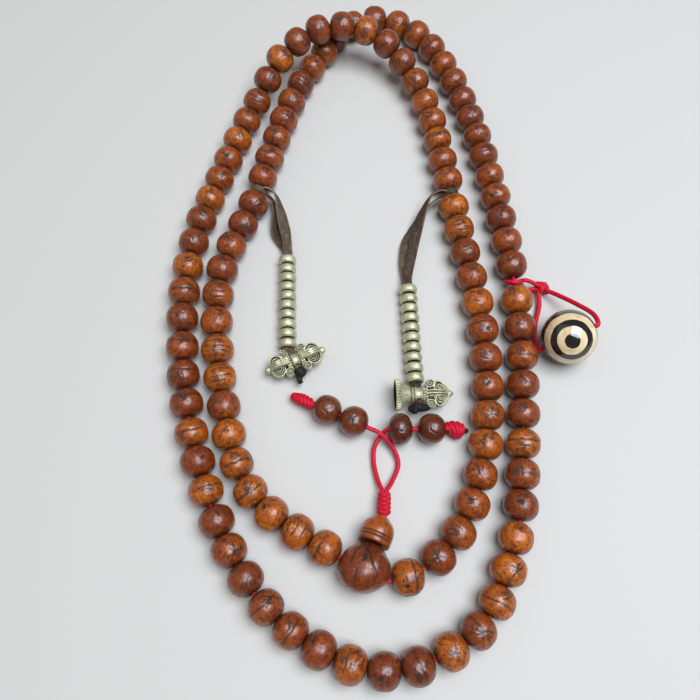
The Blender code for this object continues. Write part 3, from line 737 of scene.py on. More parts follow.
class Marks:
    """Strokes on a seed of a given radius and half thickness."""

    def __init__(self, rand, radius, half):
        self.rand, self.normal, self.uniform = rand, rand.normal, rand.uniform
        self.radius, self.half, self.made = radius, half, []

    def place(self, turn, lift):
        """Places on the seed, by degrees round it and up from its middle."""
        polar = np.radians(90.0 - np.clip(lift, -84, 84))
        ring = self.radius * np.sin(polar) ** SEED_FULLNESS
        high = self.half * rounded(np.cos(polar), SEED_FULLNESS)
        return cylinder(ring, np.radians(turn), high)

    def moved(self, turn, lift, east, north):
        """Degrees of the place that lies a distance east and north of another."""
        return turn + np.degrees(east / self.radius), lift + np.degrees(north / self.radius)

    def stroke(self, turn, lift, slant, length, width, depth, bend=0.0):
        """A tapered scratch with a slight wobble, leaning by slant degrees."""
        steps = max(3, int(length / 0.6) + 2)
        s = np.linspace(-0.5, 0.5, steps)
        across = bend * (s * s - 0.25) * length + np.cumsum(self.normal(0, 0.1, steps)) * 0.5
        way = math.radians(slant)
        east = s * length * math.cos(way) - across * math.sin(way)
        north = s * length * math.sin(way) + across * math.cos(way)
        lifts = lift + np.degrees(north / self.radius)
        turns = turn + np.degrees(east / (self.radius * np.cos(np.radians(np.clip(lifts, -75, 75)))))
        taper = width * (1 - (2 * s) ** 2 * 0.85) ** 0.8
        self.made.append((self.place(turns, lifts), taper, depth))

    def star(self, turn, lift, rays, reach):
        """Cracks that run out from one point."""
        spin = self.uniform(0, 360)
        self.stroke(turn, lift, spin, 0.5, self.uniform(0.15, 0.28), 0.24)
        for k in range(rays):
            slant = spin + 360 * k / rays + self.uniform(-22, 22)
            length = reach * self.uniform(0.55, 1.2)
            way = math.radians(slant)
            middle = self.moved(turn, lift, math.cos(way) * length / 2, math.sin(way) * length / 2)
            self.stroke(*middle, slant, length, self.uniform(0.05, 0.12), 0.13, self.uniform(-0.4, 0.4))

    def lens(self, turn, lift, slant):
        """Three cracks side by side."""
        way = math.radians(slant)
        for k in (-1, 0, 1):
            length = self.uniform(1.8, 4.2)
            shift = k * self.uniform(0.5, 0.95)
            middle = self.moved(turn, lift, -shift * math.sin(way), shift * math.cos(way))
            self.stroke(*middle, slant + self.uniform(-9, 9), length, self.uniform(0.05, 0.11), 0.14,
                        self.uniform(-0.5, 0.5))

    def streaks(self, turn, lift):
        """Near parallel lines round the middle that close up at their ends."""
        for k in np.linspace(-1, 1, self.rand.integers(4, 7)):
            self.stroke(turn + self.normal(0, 9), lift + 36 * k + self.normal(0, 3),
                        self.normal(0, 5), self.uniform(4.5, 9.0) * (1 - 0.4 * abs(k)),
                        self.uniform(0.05, 0.12), 0.12, -0.3 * k)

    def pit(self, turn, lift):
        self.stroke(turn, lift, self.normal(0, 40), self.uniform(0.9, 1.4),
                    self.uniform(0.38, 0.6), 0.3)

    def squiggle(self, turn, lift, reach):
        """A curl cut into the skin."""
        steps = 16
        angle = np.linspace(0, self.uniform(1.3, 1.95) * math.pi, steps) + self.uniform(0, 6)
        bow = reach * (1 + np.cumsum(self.normal(0, 0.09, steps)))
        places = self.place(*self.moved(turn, lift, bow * np.cos(angle), bow * np.sin(angle)))
        self.made.append((places, np.full(steps, 0.10), 0.10))

    def seam(self, turn, sway):
        """A long crack from one end to the other."""
        lifts = np.linspace(-74, 74, 17)
        turns = turn + sway * np.cos(np.radians(lifts * 1.1)) + np.cumsum(self.normal(0, 1.6, 17))
        self.made.append((self.place(turns, lifts), self.uniform(0.06, 0.13) * np.ones(17), 0.15))

    def girdle(self, lift, sway):
        """A seam round the middle, across the side that faces up."""
        turns = np.linspace(-self.uniform(45, 85), self.uniform(45, 85), 21)
        lifts = lift + sway * np.cos(np.radians(turns)) + np.cumsum(self.normal(0, 1.2, 21))
        self.made.append((self.place(turns, lifts), self.uniform(0.05, 0.11) * np.ones(21), 0.15))

    def splinters(self, turn, lift, count, slant=None):
        """Short scratches round a place, most of them leaning one way."""
        slant = self.uniform(0, 180) if slant is None else slant
        for _ in range(count):
            self.stroke(turn + self.normal(0, 15), lift + self.normal(0, 13),
                        self.normal(slant, 24), self.uniform(0.5, 1.7),
                        self.uniform(0.06, 0.12), 0.09, self.uniform(-0.5, 0.5))

    def dashes(self, count):
        """Small nicks toward the two ends."""
        for _ in range(count):
            end = self.rand.choice([-1, 1])
            self.stroke(self.uniform(0, 360), end * self.uniform(24, 66), self.normal(90, 35),
                        self.uniform(0.3, 1.1), self.uniform(0.05, 0.12), 0.06)

    def scatter(self, number):
        """The marks of one strand bead, the main group facing up."""
        rand = self.rand
        turn, lift = rand.normal(0, 15), rand.normal(0, 10)
        if number in GIRDLED:
            self.girdle(rand.normal(0, 6), rand.uniform(-9, 9))
        if number in STREAKED:
            self.streaks(turn, lift)
        elif number in STARRED:
            self.star(turn, lift, rand.integers(5, 9), rand.uniform(1.8, 2.8))
        elif number in PITTED:
            self.pit(turn + rand.normal(0, 10), lift + rand.normal(0, 14))
        elif rand.random() < 0.5:
            self.lens(turn, lift, rand.normal(rand.choice([0, 90]), 25))
        else:
            self.stroke(turn, lift, rand.normal(0, 45), rand.uniform(1.6, 3.6), 0.10, 0.15, 0.4)
        self.splinters(turn, lift, rand.integers(4, 10), 0 if number in STREAKED | GIRDLED else None)
        for side in (120, 240):
            turn, lift = side + rand.normal(0, 22), rand.normal(0, 16)
            kind = rand.choice(4, p=(0.34, 0.3, 0.2, 0.16))
            if kind == 0:
                self.lens(turn, lift, rand.normal(rand.choice([0, 90]), 25))
            elif kind == 1:
                self.star(turn, lift, rand.integers(4, 8), rand.uniform(1.3, 2.6))
            elif kind == 2:
                self.seam(turn, rand.uniform(-35, 35))
            else:
                self.squiggle(turn, lift, rand.uniform(0.7, 1.3))
            self.splinters(turn, lift, rand.integers(3, 8))
        self.dashes(rand.integers(14, 26))
        return self.made


def seed_outline(radius, half, bore, fullness):
    """Loop of (radius, height): outside from end to end, then the bore."""
    start = math.asin(((bore + 0.3) / radius) ** (1 / fullness))
    polar = np.linspace(start, math.pi - start, ALONG)
    ring = radius * np.sin(polar) ** fullness
    high = rounded(np.cos(polar), fullness)
    high *= half / high[0]
    inner = [(bore + 0.08, -half + 0.05), (bore, -half + 0.3), (bore, -half * 0.3),
             (bore, half * 0.3), (bore, half - 0.3), (bore + 0.08, half - 0.05)]
    return np.vstack([np.stack([ring, high], -1), inner])


seed_template = []      # the first seed's mesh; the others are copies of it


def seed_mesh(name, axes, radius, half, bore, rand, marks, tone, lumps=1.0, fullness=SEED_FULLNESS):
    """Drilled seed with an irregular outside, its marks cut into it."""
    outline = seed_outline(radius, half, bore, fullness)
    theta = ring_angles(AROUND)
    r, h = outline[:, :1], np.repeat(outline[:, 1:], AROUND, 1)
    local = cylinder(r, theta, h).reshape(-1, 3)
    outside = np.repeat((np.arange(len(outline)) < ALONG).astype(float), AROUND)
    end = np.abs(local[:, 2]) / half
    fade = outside * np.clip((np.hypot(local[:, 0], local[:, 1]) - bore - 0.3) / 1.2, 0, 1)
    edge, cut = mark_field(local, marks)
    swell = 0.085 * ripples(local, rand, 11.0) + 0.022 * ripples(local, rand, 2.6, 10)
    shaped = local + units(local) * ((swell * lumps - cut) * fade)[:, None]
    shaped[:, 2] = np.clip(shaped[:, 2], -half, half)
    world = out_of(axes, shaped)
    if not seed_template:
        grid = np.concatenate([world, local], -1).reshape(len(outline), AROUND, 6)
        seed_template.append(mesh_from("seed_template", [shell(grid, True)]))
    mesh = seed_template[0].copy()
    mesh.name = name
    move_to(mesh, world)
    write(mesh, "local", local + rand.uniform(-200, 200, 3))
    write(mesh, "crack", np.where(outside > 0, edge, 2.0))
    write(mesh, "tone", np.full(len(local), tone))
    # rim is 1 at the ends and in the bore; the coat paints shade there and puts dashes toward the ends
    write(mesh, "rim", np.where(outside > 0, end, 1.0))
    mesh.update()
    return mesh


def strand_tone(number, rand):
    """How light a seed is beside the others."""
    base = 1.30 if number in LIGHT_BEADS else 0.70 if number in DARK_BEADS else 0.95
    return base * rand.uniform(0.90, 1.10)


def make_strand_bead(number, node):
    """One seed of the strand, slightly slimmer where the strand folds."""
    centre, axis, half = beads[number]
    rand = np.random.default_rng(4100 + number)
    radius = SEED_R * (1 + rand.uniform(-0.02, 0.012))
    axes = axes_for(centre, axis, CAMERA_AT - centre)
    half += FOLD_GROWTH if number in folding else SEED_GROWTH
    marks = Marks(rand, radius, half).scatter(number)
    mesh = seed_mesh("bead_%03d" % number, axes, radius, half, SEED_BORE, rand, marks,
                     strand_tone(number, rand))
    add("bead_%03d_seed" % number, mesh, SEED, NODE_BODY[node], node, sharp=0)


def ends_of(node):
    """First and last bead of a stretch, from its name: beads_FFF_LLL."""
    return int(node[6:9]), int(node[10:13])


runs = sorted(node for node in frame["nodes"] if node.startswith("beads_"))
bead_body = {k: NODE_BODY[node] for node in runs
             for k in range(ends_of(node)[0], ends_of(node)[1] + 1)}
folding = {k + step for k in range(2, BEAD_COUNT) for step in (0, 1) if bead_body[k] != bead_body[k + 1]}
for node in runs:
    first, last = ends_of(node)
    for number in range(first, last + 1):
        make_strand_bead(number, node)
make_strand_bead(1, "bead_001")


def add_cord(name, shells, body, node, coat=RED_CORD):
    add(name, mesh_from(name, shells), coat, body, node)


def strand_cord(node):
    """Cord through one stretch, out to the middle of the gap at each end."""
    first, last = ends_of(node)
    places = []
    if first == 2:
        places += [near_face(1) - beads[1][1] * 4.6, beads[1][0]]
    elif first - 1 in LOOPED_AFTER:
        places.append(near_face(first))
    else:
        places.append(gap_after(first - 1))
    places += [beads[k][0] for k in range(first, last + 1)]
    if last == BEAD_COUNT:
        places.append(far_face(last) + beads[last][1] * 4.2)
    else:
        places.append(near_face(last + 1) if last in LOOPED_AFTER else gap_after(last))
    add_cord("cord_" + node[6:], [tube(path(places, 0.5), STRAND_CORD_R, 14)], NODE_BODY[node], node)


for node in runs:
    strand_cord(node)


# ------------------------------------------------------------- guru and tower
tower_axis = heading(TOWER_HEADING, TOWER_DROP)
guru_axes = axes_for(GURU_CENTRE, tower_axis, CAMERA_AT - GURU_CENTRE)


def make_guru():
    """Large creased seed: creases fan down from its tower end."""
    centre, x, y, z = guru_axes
    rand = np.random.default_rng(77)
    rings, around = 96, 168
    polar = np.radians(np.linspace(1.5, 178.5, rings))[:, None]
    theta = ring_angles(around)[None, :]
    way = (np.sin(polar) * np.cos(theta))[..., None] * x + (np.sin(polar) * np.sin(theta))[..., None] * y \
        + (np.cos(polar) * np.ones_like(theta))[..., None] * z

    def on_guru(turn, lift):
        p, t = math.radians(90 - lift), math.radians(turn)
        ray = math.sin(p) * math.cos(t) * x + math.sin(p) * math.sin(t) * y + math.cos(p) * z
        return ray * GURU_RADII

    creases = []
    fans = (
        ((-30, 66), (-34, 40), (-38, 14), (-35, -10)),
        ((-19, 66), (-12, 48), (0, 30), (14, 8), (34, -10)),
        ((-22, 60), (-14, 40), (-10, 22)),
        ((44, 62), (56, 38), (60, 14)),
        ((-16, -16), (-15, -32), (-13, -48)),
        ((30, -20), (42, -36), (30, -52)),
        ((-62, 60), (-70, 34), (-66, 8)),
        ((95, 60), (100, 34), (92, 4), (98, -20)),
        ((-110, 60), (-122, 30), (-116, 2), (-124, -24)),
        ((150, 64), (158, 38), (148, 6), (154, -26)),
        ((-160, 50), (-150, 20), (-158, -12)),
        ((-70, -24), (-52, -34), (-38, -50)),
    )
    for number, fan in enumerate(fans):
        line = through([on_guru(*p) for p in fan], 8)
        taper = np.sin(np.linspace(0.5, math.pi - 0.2, len(line))) ** 0.6
        creases.append((line, (0.13 if number < 2 else 0.07) * taper,
                        (0.42 if number < 2 else 0.2) * np.sin(np.linspace(0.6, math.pi, len(line) - 1))))
    # a broad shallow dent in the middle, which the crack field colours dark
    dark_dent = np.array([on_guru(-9, 24), on_guru(-7, 14), on_guru(-10, 6)])
    creases.append((dark_dent, np.array([0.3, 0.55, 0.2]), 0.22))
    small = Marks(rand, 6.8, 6.8)
    small.dashes(26)
    for line, width, depth in small.made:
        line = line[:, :1] * x + line[:, 1:2] * y + line[:, 2:] * z
        creases.append((line * GURU_RADII / 6.8, width, depth * 0.6))
    body = (way * GURU_RADII).reshape(-1, 3)
    first, first_axis = near_face(1), beads[1][1]
    last, last_axis = far_face(BEAD_COUNT), beads[BEAD_COUNT][1]
    mesh = drill(mesh_from("guru_seed", [shell((body + centre).reshape(rings, around, 3))]),
                 [(first + first_axis * 1.2, first - first_axis * 7.0, 1.0),
                  (last - last_axis * 1.2, last + last_axis * 7.0, 1.0),
                  (centre + tower_axis * 12, centre, 1.2)])
    points = coordinates(mesh) - centre
    edge, cut = mark_field(points, creases)
    broad = mark_field(points, [(line, width + 0.9, depth) for line, width, depth in creases[:3]])[1]
    size = np.linalg.norm(points / GURU_RADII, axis=1)
    surface = np.clip((size - 0.97) / 0.02, 0, 1)
    swell = 0.17 * ripples(points, rand, 9.0) + 0.045 * ripples(points, rand, 3.0, 10)
    seat = np.clip((points @ tower_axis / np.linalg.norm(points, axis=1) - 0.72) / 0.2, 0, 1)
    push = (swell * (1 - seat) - cut - 0.7 * broad - 0.12 + 0.42 * seat) * surface
    points = points * (1 + push / np.linalg.norm(points, axis=1).clip(1.0))[:, None]
    points[:, 2] = np.maximum(points[:, 2], 0.03 - GURU_CENTRE[2])
    move_to(mesh, points + centre)
    to_local(mesh, guru_axes)
    write(mesh, "crack", np.where(surface > 0.5, edge, 2.0))
    height = points @ unit(UP + 0.6 * tower_axis)
    write(mesh, "tone", 1.08 - 0.045 * height)
    # rim is 1 in the drilled holes, where the coat paints shade
    write(mesh, "rim", np.where(surface > 0.5, 0.0, 1.0))
    mesh.update()
    add("guru_seed", mesh, GURU_SEED, "strand", "guru_bead", sharp=0)


make_guru()


def make_tower():
    """Small turned seed with two grooves and a domed top."""
    centre = GURU_CENTRE + tower_axis * TOWER_BASE_AT
    axes = axes_for(centre, tower_axis, CAMERA_AT - centre)
    outline = dense((
        (1.25, 0.0), (4.0, 0.0), (4.35, 0.25), (4.5, 0.8), (4.56, 1.35), (4.3, 1.6), (4.58, 1.85),
        (4.6, 2.2), (4.36, 2.46), (4.6, 2.72), (4.62, 3.3), (4.58, 4.1), (4.42, 4.9), (4.1, 5.7),
        (3.6, 6.4), (3.0, 6.95), (2.5, 7.3), (2.3, 7.55), (2.1, 7.85), (1.75, 8.0), (1.25, 8.0),
    ), 0.16)
    bore = [(1.22, 7.7), (1.22, 5.0), (1.22, 2.5), (1.22, 0.3)]
    rand = np.random.default_rng(5)
    marks = Marks(rand, 4.3, 4.3)
    for turn, lift, slant, length in (
            (38, 2, 80, 2.2), (52, -6, 100, 1.4), (64, 6, 70, 1.8), (30, -14, 60, 0.9),
            (20, 22, 95, 1.3), (-150, 0, 85, 2.6), (120, 10, 100, 2.0), (-60, 12, 90, 1.5)):
        marks.stroke(turn, lift, slant, length, 0.09, 0.1)
    marks.dashes(16)
    verts, faces = turned(np.vstack([outline, bore]), 120, axes)
    points = verts[:, 3:6]
    shifted = [(line + np.array([0, 0, 3.6]), width, depth) for line, width, depth in marks.made]
    edge, cut = mark_field(points, shifted)
    ring = np.hypot(points[:, 0], points[:, 1])
    outside = (ring > 1.9).astype(float)
    push = (0.05 * ripples(points, rand, 8.0) - cut) * outside
    flat = points.copy()
    flat[:, 2] = 0
    out = flat / ring[:, None]
    verts[:, :3] = out_of(axes, points + out * push[:, None])
    mesh = mesh_from("tower_seed", [(verts, faces)])
    groove = np.minimum(np.abs(points[:, 2] - 1.6), np.abs(points[:, 2] - 2.46)) - 0.04
    write(mesh, "crack", np.where(outside > 0, np.minimum(edge, np.where(ring > 3.5, groove, 2.0)), 2.0))
    write(mesh, "tone", np.interp(points[:, 2], [0, 1.2, 3.0, 7.0, 7.5, 8.0],
                                  [0.6, 0.85, 1.0, 1.08, 1.3, 1.4]))
    # rim is 1 on the base that sits on the guru, where the coat paints shade
    write(mesh, "rim", np.where(points[:, 2] < 0.12, 1.0, 0.0))
    add("tower_seed", mesh, TOWER_SEED, "strand", "tower_bead", sharp=50)


make_tower()

tassel_pivot = np.array(JOINTS["tassel_lift"]["pos_m"]) / MM
neck = path([GURU_CENTRE + tower_axis * 1.6, GURU_CENTRE + tower_axis * 8, tassel_pivot], 0.4)
add_cord("neck_cord", [tube(neck, NECK_CORD_R)], "strand", "guru_cord")


# ------------------------------------------------------------------ the tassel
def coil(centre, along, radius, wire, tilt, squash=1.0):
    """One turn of cord round an axis, its plane tilted by some degrees."""
    theta = ring_angles(44)
    _, x, y, z = axes_for(centre, along)
    lean = math.tan(math.radians(tilt)) * radius
    ring = centre + radius * squash * np.cos(theta)[:, None] * x + radius * np.sin(theta)[:, None] * y \
        + (lean * np.sin(theta))[:, None] * z
    return tube(ring, wire, 14, True)


def braid(start, end, radius, wire, turns):
    """Cords plaited round a core: each goes over and under those crossing."""
    strands = 2
    _, x, y, _ = axes_for(start, end - start)
    s = np.linspace(0.0, 1.0, int(turns * 40))
    made = []
    for way in (-1, 1):
        for k in range(strands):
            theta = way * 2 * math.pi * turns * s + 2 * math.pi * k / strands
            out = radius + way * 0.42 * wire * np.cos(strands * theta)
            swell = np.sin(np.pi * np.clip(s * 5, 0, 0.5)) * np.sin(np.pi * np.clip((1 - s) * 5, 0, 0.5))
            out = out * (0.55 + 0.45 * swell)
            places = start + (end - start) * s[:, None] + (out * np.cos(theta))[:, None] * x \
                + (out * np.sin(theta))[:, None] * y
            made.append(tube(places, wire, 14))
    return made


LEFT_INNER, LEFT_OUTER = np.array([-2.6, 41.3, 4.55]), np.array([-10.4, 44.9, 4.4])
RIGHT_INNER, RIGHT_OUTER = np.array([10.9, 38.9, 4.65]), np.array([20.1, 39.1, 4.5])
left_run, right_run = unit(LEFT_OUTER - LEFT_INNER), unit(RIGHT_OUTER - RIGHT_INNER)
collar_top = np.array([6.0, 20.6, 3.0])
collar_run = unit(collar_top - tassel_pivot)
left_path = path([
    collar_top - collar_run * 1.5, collar_top + (0.5, 0.5, 0.2), (8.4, 24.3, 2.0), (10.3, 29.6, 1.4),
    (8.7, 34.0, 2.6), (5.2, 37.6, 4.3), LEFT_INNER - left_run * 4.6, LEFT_INNER, LEFT_OUTER,
    LEFT_OUTER + left_run * 5.2], 0.22)
right_path = path([
    collar_top - collar_run * 1.5, collar_top + (-0.5, 0.5, 0.2), (4.3, 24.5, 2.0), (3.2, 30.0, 1.4),
    (3.5, 34.4, 1.9), (5.3, 37.4, 2.75), RIGHT_INNER - right_run * 3.6, RIGHT_INNER, RIGHT_OUTER,
    RIGHT_OUTER + right_run * 5.2], 0.22)
for label, places in (("left", left_path), ("right", right_path)):
    add_cord("tassel_loop_" + label, [tube(places, LOOP_R)], "tassel", "tassel_cord")

collar_shells = [tube(path([tassel_pivot, collar_top], 0.4), 0.85)]
collar_shells += braid(tassel_pivot + collar_run * 0.35, collar_top + collar_run * 0.1, 1.12, 0.6, 2.4)
add_cord("tassel_collar", collar_shells, "tassel", "tassel_cord")


def stopper(name, start, run, fall, wraps, tip, tip_coat):
    """Wound end knot: slanted wraps, then the melted tip of the cord."""
    down = unit(run * 6.0 - UP * fall)
    shells = [coil(start + down * at, down, radius, 0.66, tilt) for at, radius, tilt in wraps]
    add_cord(name, shells, "tassel", "tassel_cord")
    places = path([start + down * at for at, _ in tip], 0.25)
    share = np.linspace(0, 1, len(places))
    radius = np.interp(share, np.linspace(0, 1, len(tip)), [r for _, r in tip])
    add_cord(name + "_tip", [tube(places, radius, 20, weave=0.015)], "tassel", "tassel_cord", tip_coat)


stopper("stopper_left", LEFT_OUTER, left_run, 0.9,
        ((5.1, 1.0, 40), (6.2, 1.22, 40), (7.3, 1.32, 38), (8.4, 1.2, 36)),
        ((4.6, 0.9), (6.5, 1.3), (8.6, 1.72), (9.9, 1.78), (10.9, 1.45)), RED_CORD)
stopper("stopper_right", RIGHT_OUTER, right_run, 1.6,
        ((4.9, 1.05, 44), (5.9, 1.7, 32), (7.0, 2.1, 18), (8.1, 2.05, 4), (9.1, 1.5, -10)),
        ((4.6, 0.9), (7.0, 1.4), (9.4, 1.1), (10.9, 0.75)), BURNT_CORD)

for name, centre, radius, half, run, seed, tone in (
        ("tassel_bead_left_inner", LEFT_INNER, 4.5, 4.1, left_run, 21, 1.12),
        ("tassel_bead_left_outer", LEFT_OUTER, 4.35, 4.1, left_run, 22, 1.15),
        ("tassel_bead_right_inner", RIGHT_INNER, 4.6, 3.5, right_run, 23, 0.72),
        ("tassel_bead_right_outer", RIGHT_OUTER, 4.45, 4.0, right_run, 24, 0.85)):
    rand = np.random.default_rng(seed)
    marks = Marks(rand, radius, half)
    if name.endswith("left_inner"):
        marks.star(4, 2, 5, 1.5)
    else:
        marks.stroke(rand.normal(0, 10), rand.normal(0, 8), rand.normal(90, 30), rand.uniform(1.2, 3.0),
                     0.09, 0.13, 0.3)
    marks.star(140, 10, 5, 1.4)
    marks.splinters(0, 0, 4)
    marks.dashes(9)
    mesh = seed_mesh(name + "_seed", axes_for(centre, run, CAMERA_AT - centre), radius, half, 0.95, rand,
                     marks.made, tone, 0.6, fullness=0.92)
    add(name + "_seed", mesh, TASSEL_SEED, NODE_BODY[name], name, sharp=0)


# ----------------------------------------------------------------- the counters
def make_rings(side, first, last):
    """Ten worn metal rings threaded on a strap."""
    run = unit(last - first)
    for k in range(RING_COUNT):
        node = "ring_%s_%02d" % (side, k + 1)
        rand = np.random.default_rng(300 + k + (50 if side == "right" else 0))
        wide, half = RING_R * rand.uniform(0.96, 1.02), RING_HALF * rand.uniform(0.94, 1.0)
        outer = [(wide - 0.58 * abs(p) ** 3.4, half * p * 0.96) for p in np.linspace(-1, 1, 17)]
        inner = [(2.14, half * 0.98), (RING_BORE, half * 0.7), (RING_BORE, 0.0),
                 (RING_BORE, -half * 0.7), (2.14, -half * 0.98)]
        axes = axes_for(first + (last - first) * k / (RING_COUNT - 1),
                        unit(run + rand.normal(0, 0.012, 3)))
        verts, faces = turned(outer + inner, 60, axes)
        points = verts[:, 3:6]
        ring = np.hypot(points[:, 0], points[:, 1])
        push = (0.035 * ripples(points, rand, 4.5) + 0.02 * ripples(points, rand, 1.6)) * (ring > 2.3)
        _, x, y, _ = axes
        verts[:, :3] += (points[:, :1] * x + points[:, 1:2] * y) / ring[:, None] * push[:, None]
        verts[:, 3:6] += rand.uniform(-50, 50, 3)
        add(node + "_metal", mesh_from(node, [(verts, faces)]), BRASS, NODE_BODY[node], node, sharp=55)


def bar(places, radius, up, aspect=1.0, around=12, corner=1.0):
    """Rod with an elliptic or squared section; aspect is height to width."""
    places = np.asarray(places, float)
    tangent, side, normal = frames(places, up=up)
    radius = np.broadcast_to(np.asarray(radius, float), len(places))
    theta = ring_angles(around)
    c, s = rounded(np.cos(theta), corner), rounded(np.sin(theta), corner)
    out = c[None, :, None] * side[:, None] + aspect * s[None, :, None] * normal[:, None]
    return shell(places[:, None] + out * radius[:, None, None])


def stud(spot, x, y, half):
    """Small round bead of a beaded band."""
    outline = [(0.05, -half), (0.26, 0.1 - half), (0.34, 0.0), (0.26, half - 0.1), (0.05, half)]
    return turned(outline, 10, (spot, x, y, np.cross(x, y)), loop=False)


CROWN_BASE = 2.7        # how far a crown starts from the hub

# The two crowns: the tip as (distance before its end, radius), the arcs' middle and
# run as shares of the length, how much wider they are toward the hub, how far the
# plates are moved toward it, the curls' place (from the base, share of the spread),
# the width of the rails and where their ribs lie across it.
VAJRA_CROWN = {
    "tip": ((2.0, 0.7), (1.8, 1.0), (1.4, 1.14), (0.9, 1.12), (0.45, 0.92), (0.12, 0.55), (0.0, 0.2)),
    "middle": 0.42, "run": 0.30, "skew": 0.0, "inset": 0.0, "curl": (0.1, 0.93),
    "rail": 1.0, "ribs": (-0.72, 0.0, 0.72)}
BELL_CROWN = {
    "tip": ((2.3, 0.7), (2.05, 1.15), (1.6, 1.28), (1.1, 1.1), (0.55, 0.68), (0.15, 0.38), (0.0, 0.15)),
    "middle": 0.52, "run": 0.26, "skew": 0.45, "inset": 0.4, "curl": (1.0, 0.87),
    "rail": 0.62, "ribs": (-0.6, 0.6)}


def crown(axes, sign, length, spread, height, kind):
    """Prongs, scrolls and bars of half a vajra, as closed bodies."""
    base = CROWN_BASE
    centre, across, up, along = axes[0], axes[2], axes[1], axes[3] * sign

    def at(u, v, w=0.0):
        return centre + along * u + across * v + up * w

    reach = base + length
    made = [bar([at(u, 0) for u in np.linspace(base - 0.6, reach - 1.3, 20)],
                np.linspace(1.05, 0.72, 20), up, 1.0, 16, 0.45),
            turned([(r, reach - before) for before, r in kind["tip"]], 28,
                   (centre, across, np.cross(along, across), along), loop=False)]
    middle, run = base + kind["middle"] * length, kind["run"] * length
    for v in (-1, 1):
        for share, thick in ((1.0, 0.36), (0.70, 0.24), (0.42, 0.22)):
            arc = [at(middle - math.cos(a) * run * share,
                      (0.7 + math.sin(a) * (spread - 0.9) * share * (1 + kind["skew"] * math.cos(a))) * v)
                   for a in np.radians(np.linspace(0, 180, 30))]
            made.append(bar(arc, thick, up, 2.9, 10))
        flat = np.linspace(-1, 1, 16)
        side = (0.7 + 0.42 * (spread - 0.9)) * v
        made.append(bar([at(middle + run * 0.93 * f - kind["inset"], side) for f in flat],
                        0.2 + (spread - 0.9) * 0.42 * np.sqrt(1 - flat ** 2), up, 0.14, 14))
        hub = at(base + kind["curl"][0], spread * kind["curl"][1] * v)
        spin = np.linspace(0, 3.9 * math.pi, 64)
        curl = 0.08 + 1.42 * spin / spin[-1]
        spiral = [hub + along * (-c * math.cos(a)) + across * (v * c * math.sin(a))
                  for a, c in zip(spin, curl)]
        made += [bar(spiral, np.linspace(0.19, 0.25, 64), up, 4.4, 10),
                 bar([hub - up * 0.5, hub, hub + up * 0.5], (1.25, 1.3, 1.25), along, around=24),
                 bar([at(base - 0.9, 1.1 * v), hub], (0.7, 0.5), up)]
    for w in (-1, 1):
        rail = through([at(base - 0.7, 0, 1.75 * w), at(base + 0.2 * length, 0, height * 0.82 * w),
                        at(base + 0.5 * length, 0, height * 0.75 * w), at(reach - 1.9, 0, 0.95 * w)], 10)
        wide = np.linspace(1.22, 0.86, len(rail)) * kind["rail"]
        made.append(bar(rail, wide, up, 0.5, 16, 0.5))
        for v in kind["ribs"]:
            made.append(bar(rail + across * (v * wide)[:, None] + up * 0.62 * w, 0.23, up, around=8))
        if kind is VAJRA_CROWN:
            made.append(coil(at(base + 0.36 * length, 0, height * 0.80 * w + 0.6 * w), up, 0.52, 0.22, 0))
    for u, r in ((base - 1.05, 1.95), (base - 0.1, 1.85)):
        for a in ring_angles(16):
            made.append(stud(at(u, r * math.cos(a), r * math.sin(a)), across, up, 0.34))
    return made


def lotus(depth, count):
    """Ribs that stand out as a ring of petals."""
    return lambda theta, r, z: r + depth * np.abs(np.cos(theta * count / 2)) * (r > 1.0)


def finish_metal(name, shells, axes, bore_axis, hollow=None):
    """Cast the bodies into one, drill it across, and paint shade where it is hollow."""
    hub = axes[0]
    holes = [(hub - bore_axis * 8, hub + bore_axis * 8, HUB_BORE)]
    mesh = drill(cast(name, shells, METAL_VOXEL), holes)
    to_local(mesh, axes)
    if hollow is not None:
        centre, x, y, z = axes
        gap = coordinates(mesh) - centre
        write(mesh, "hollow", hollow(np.hypot(gap @ x, gap @ y), gap @ z))
    add(name + "_metal", mesh, BRASS, name, name, sharp=0)


def make_vajra(hub, hub_axis, axis):
    """Two crowns back to back on a banded waist."""
    z = unit(axis)
    axes = (hub, UP, np.cross(z, UP), z)
    half = [(2.12, 0.0), (2.1, 0.55), (2.3, 0.7), (2.32, 0.95), (2.05, 1.1), (1.75, 1.25), (1.75, 1.9),
            (2.0, 2.05), (2.1, 2.3), (1.9, 2.7), (0.3, 2.75)]
    made = [turned([(r, -u) for r, u in half[::-1]] + half[1:], 60, axes, loop=False)]
    for sign in (-1, 1):
        made.append(turned([(0.3, 1.9 * sign), (1.95, 1.95 * sign), (2.15, 2.2 * sign), (1.95, 2.6 * sign),
                            (0.3, 2.7 * sign)], 72, axes, lotus(0.2, 14), loop=False))
        made += crown(axes, sign, 7.1, 3.6, 2.6, VAJRA_CROWN)
    finish_metal("vajra", made, axes, hub_axis)


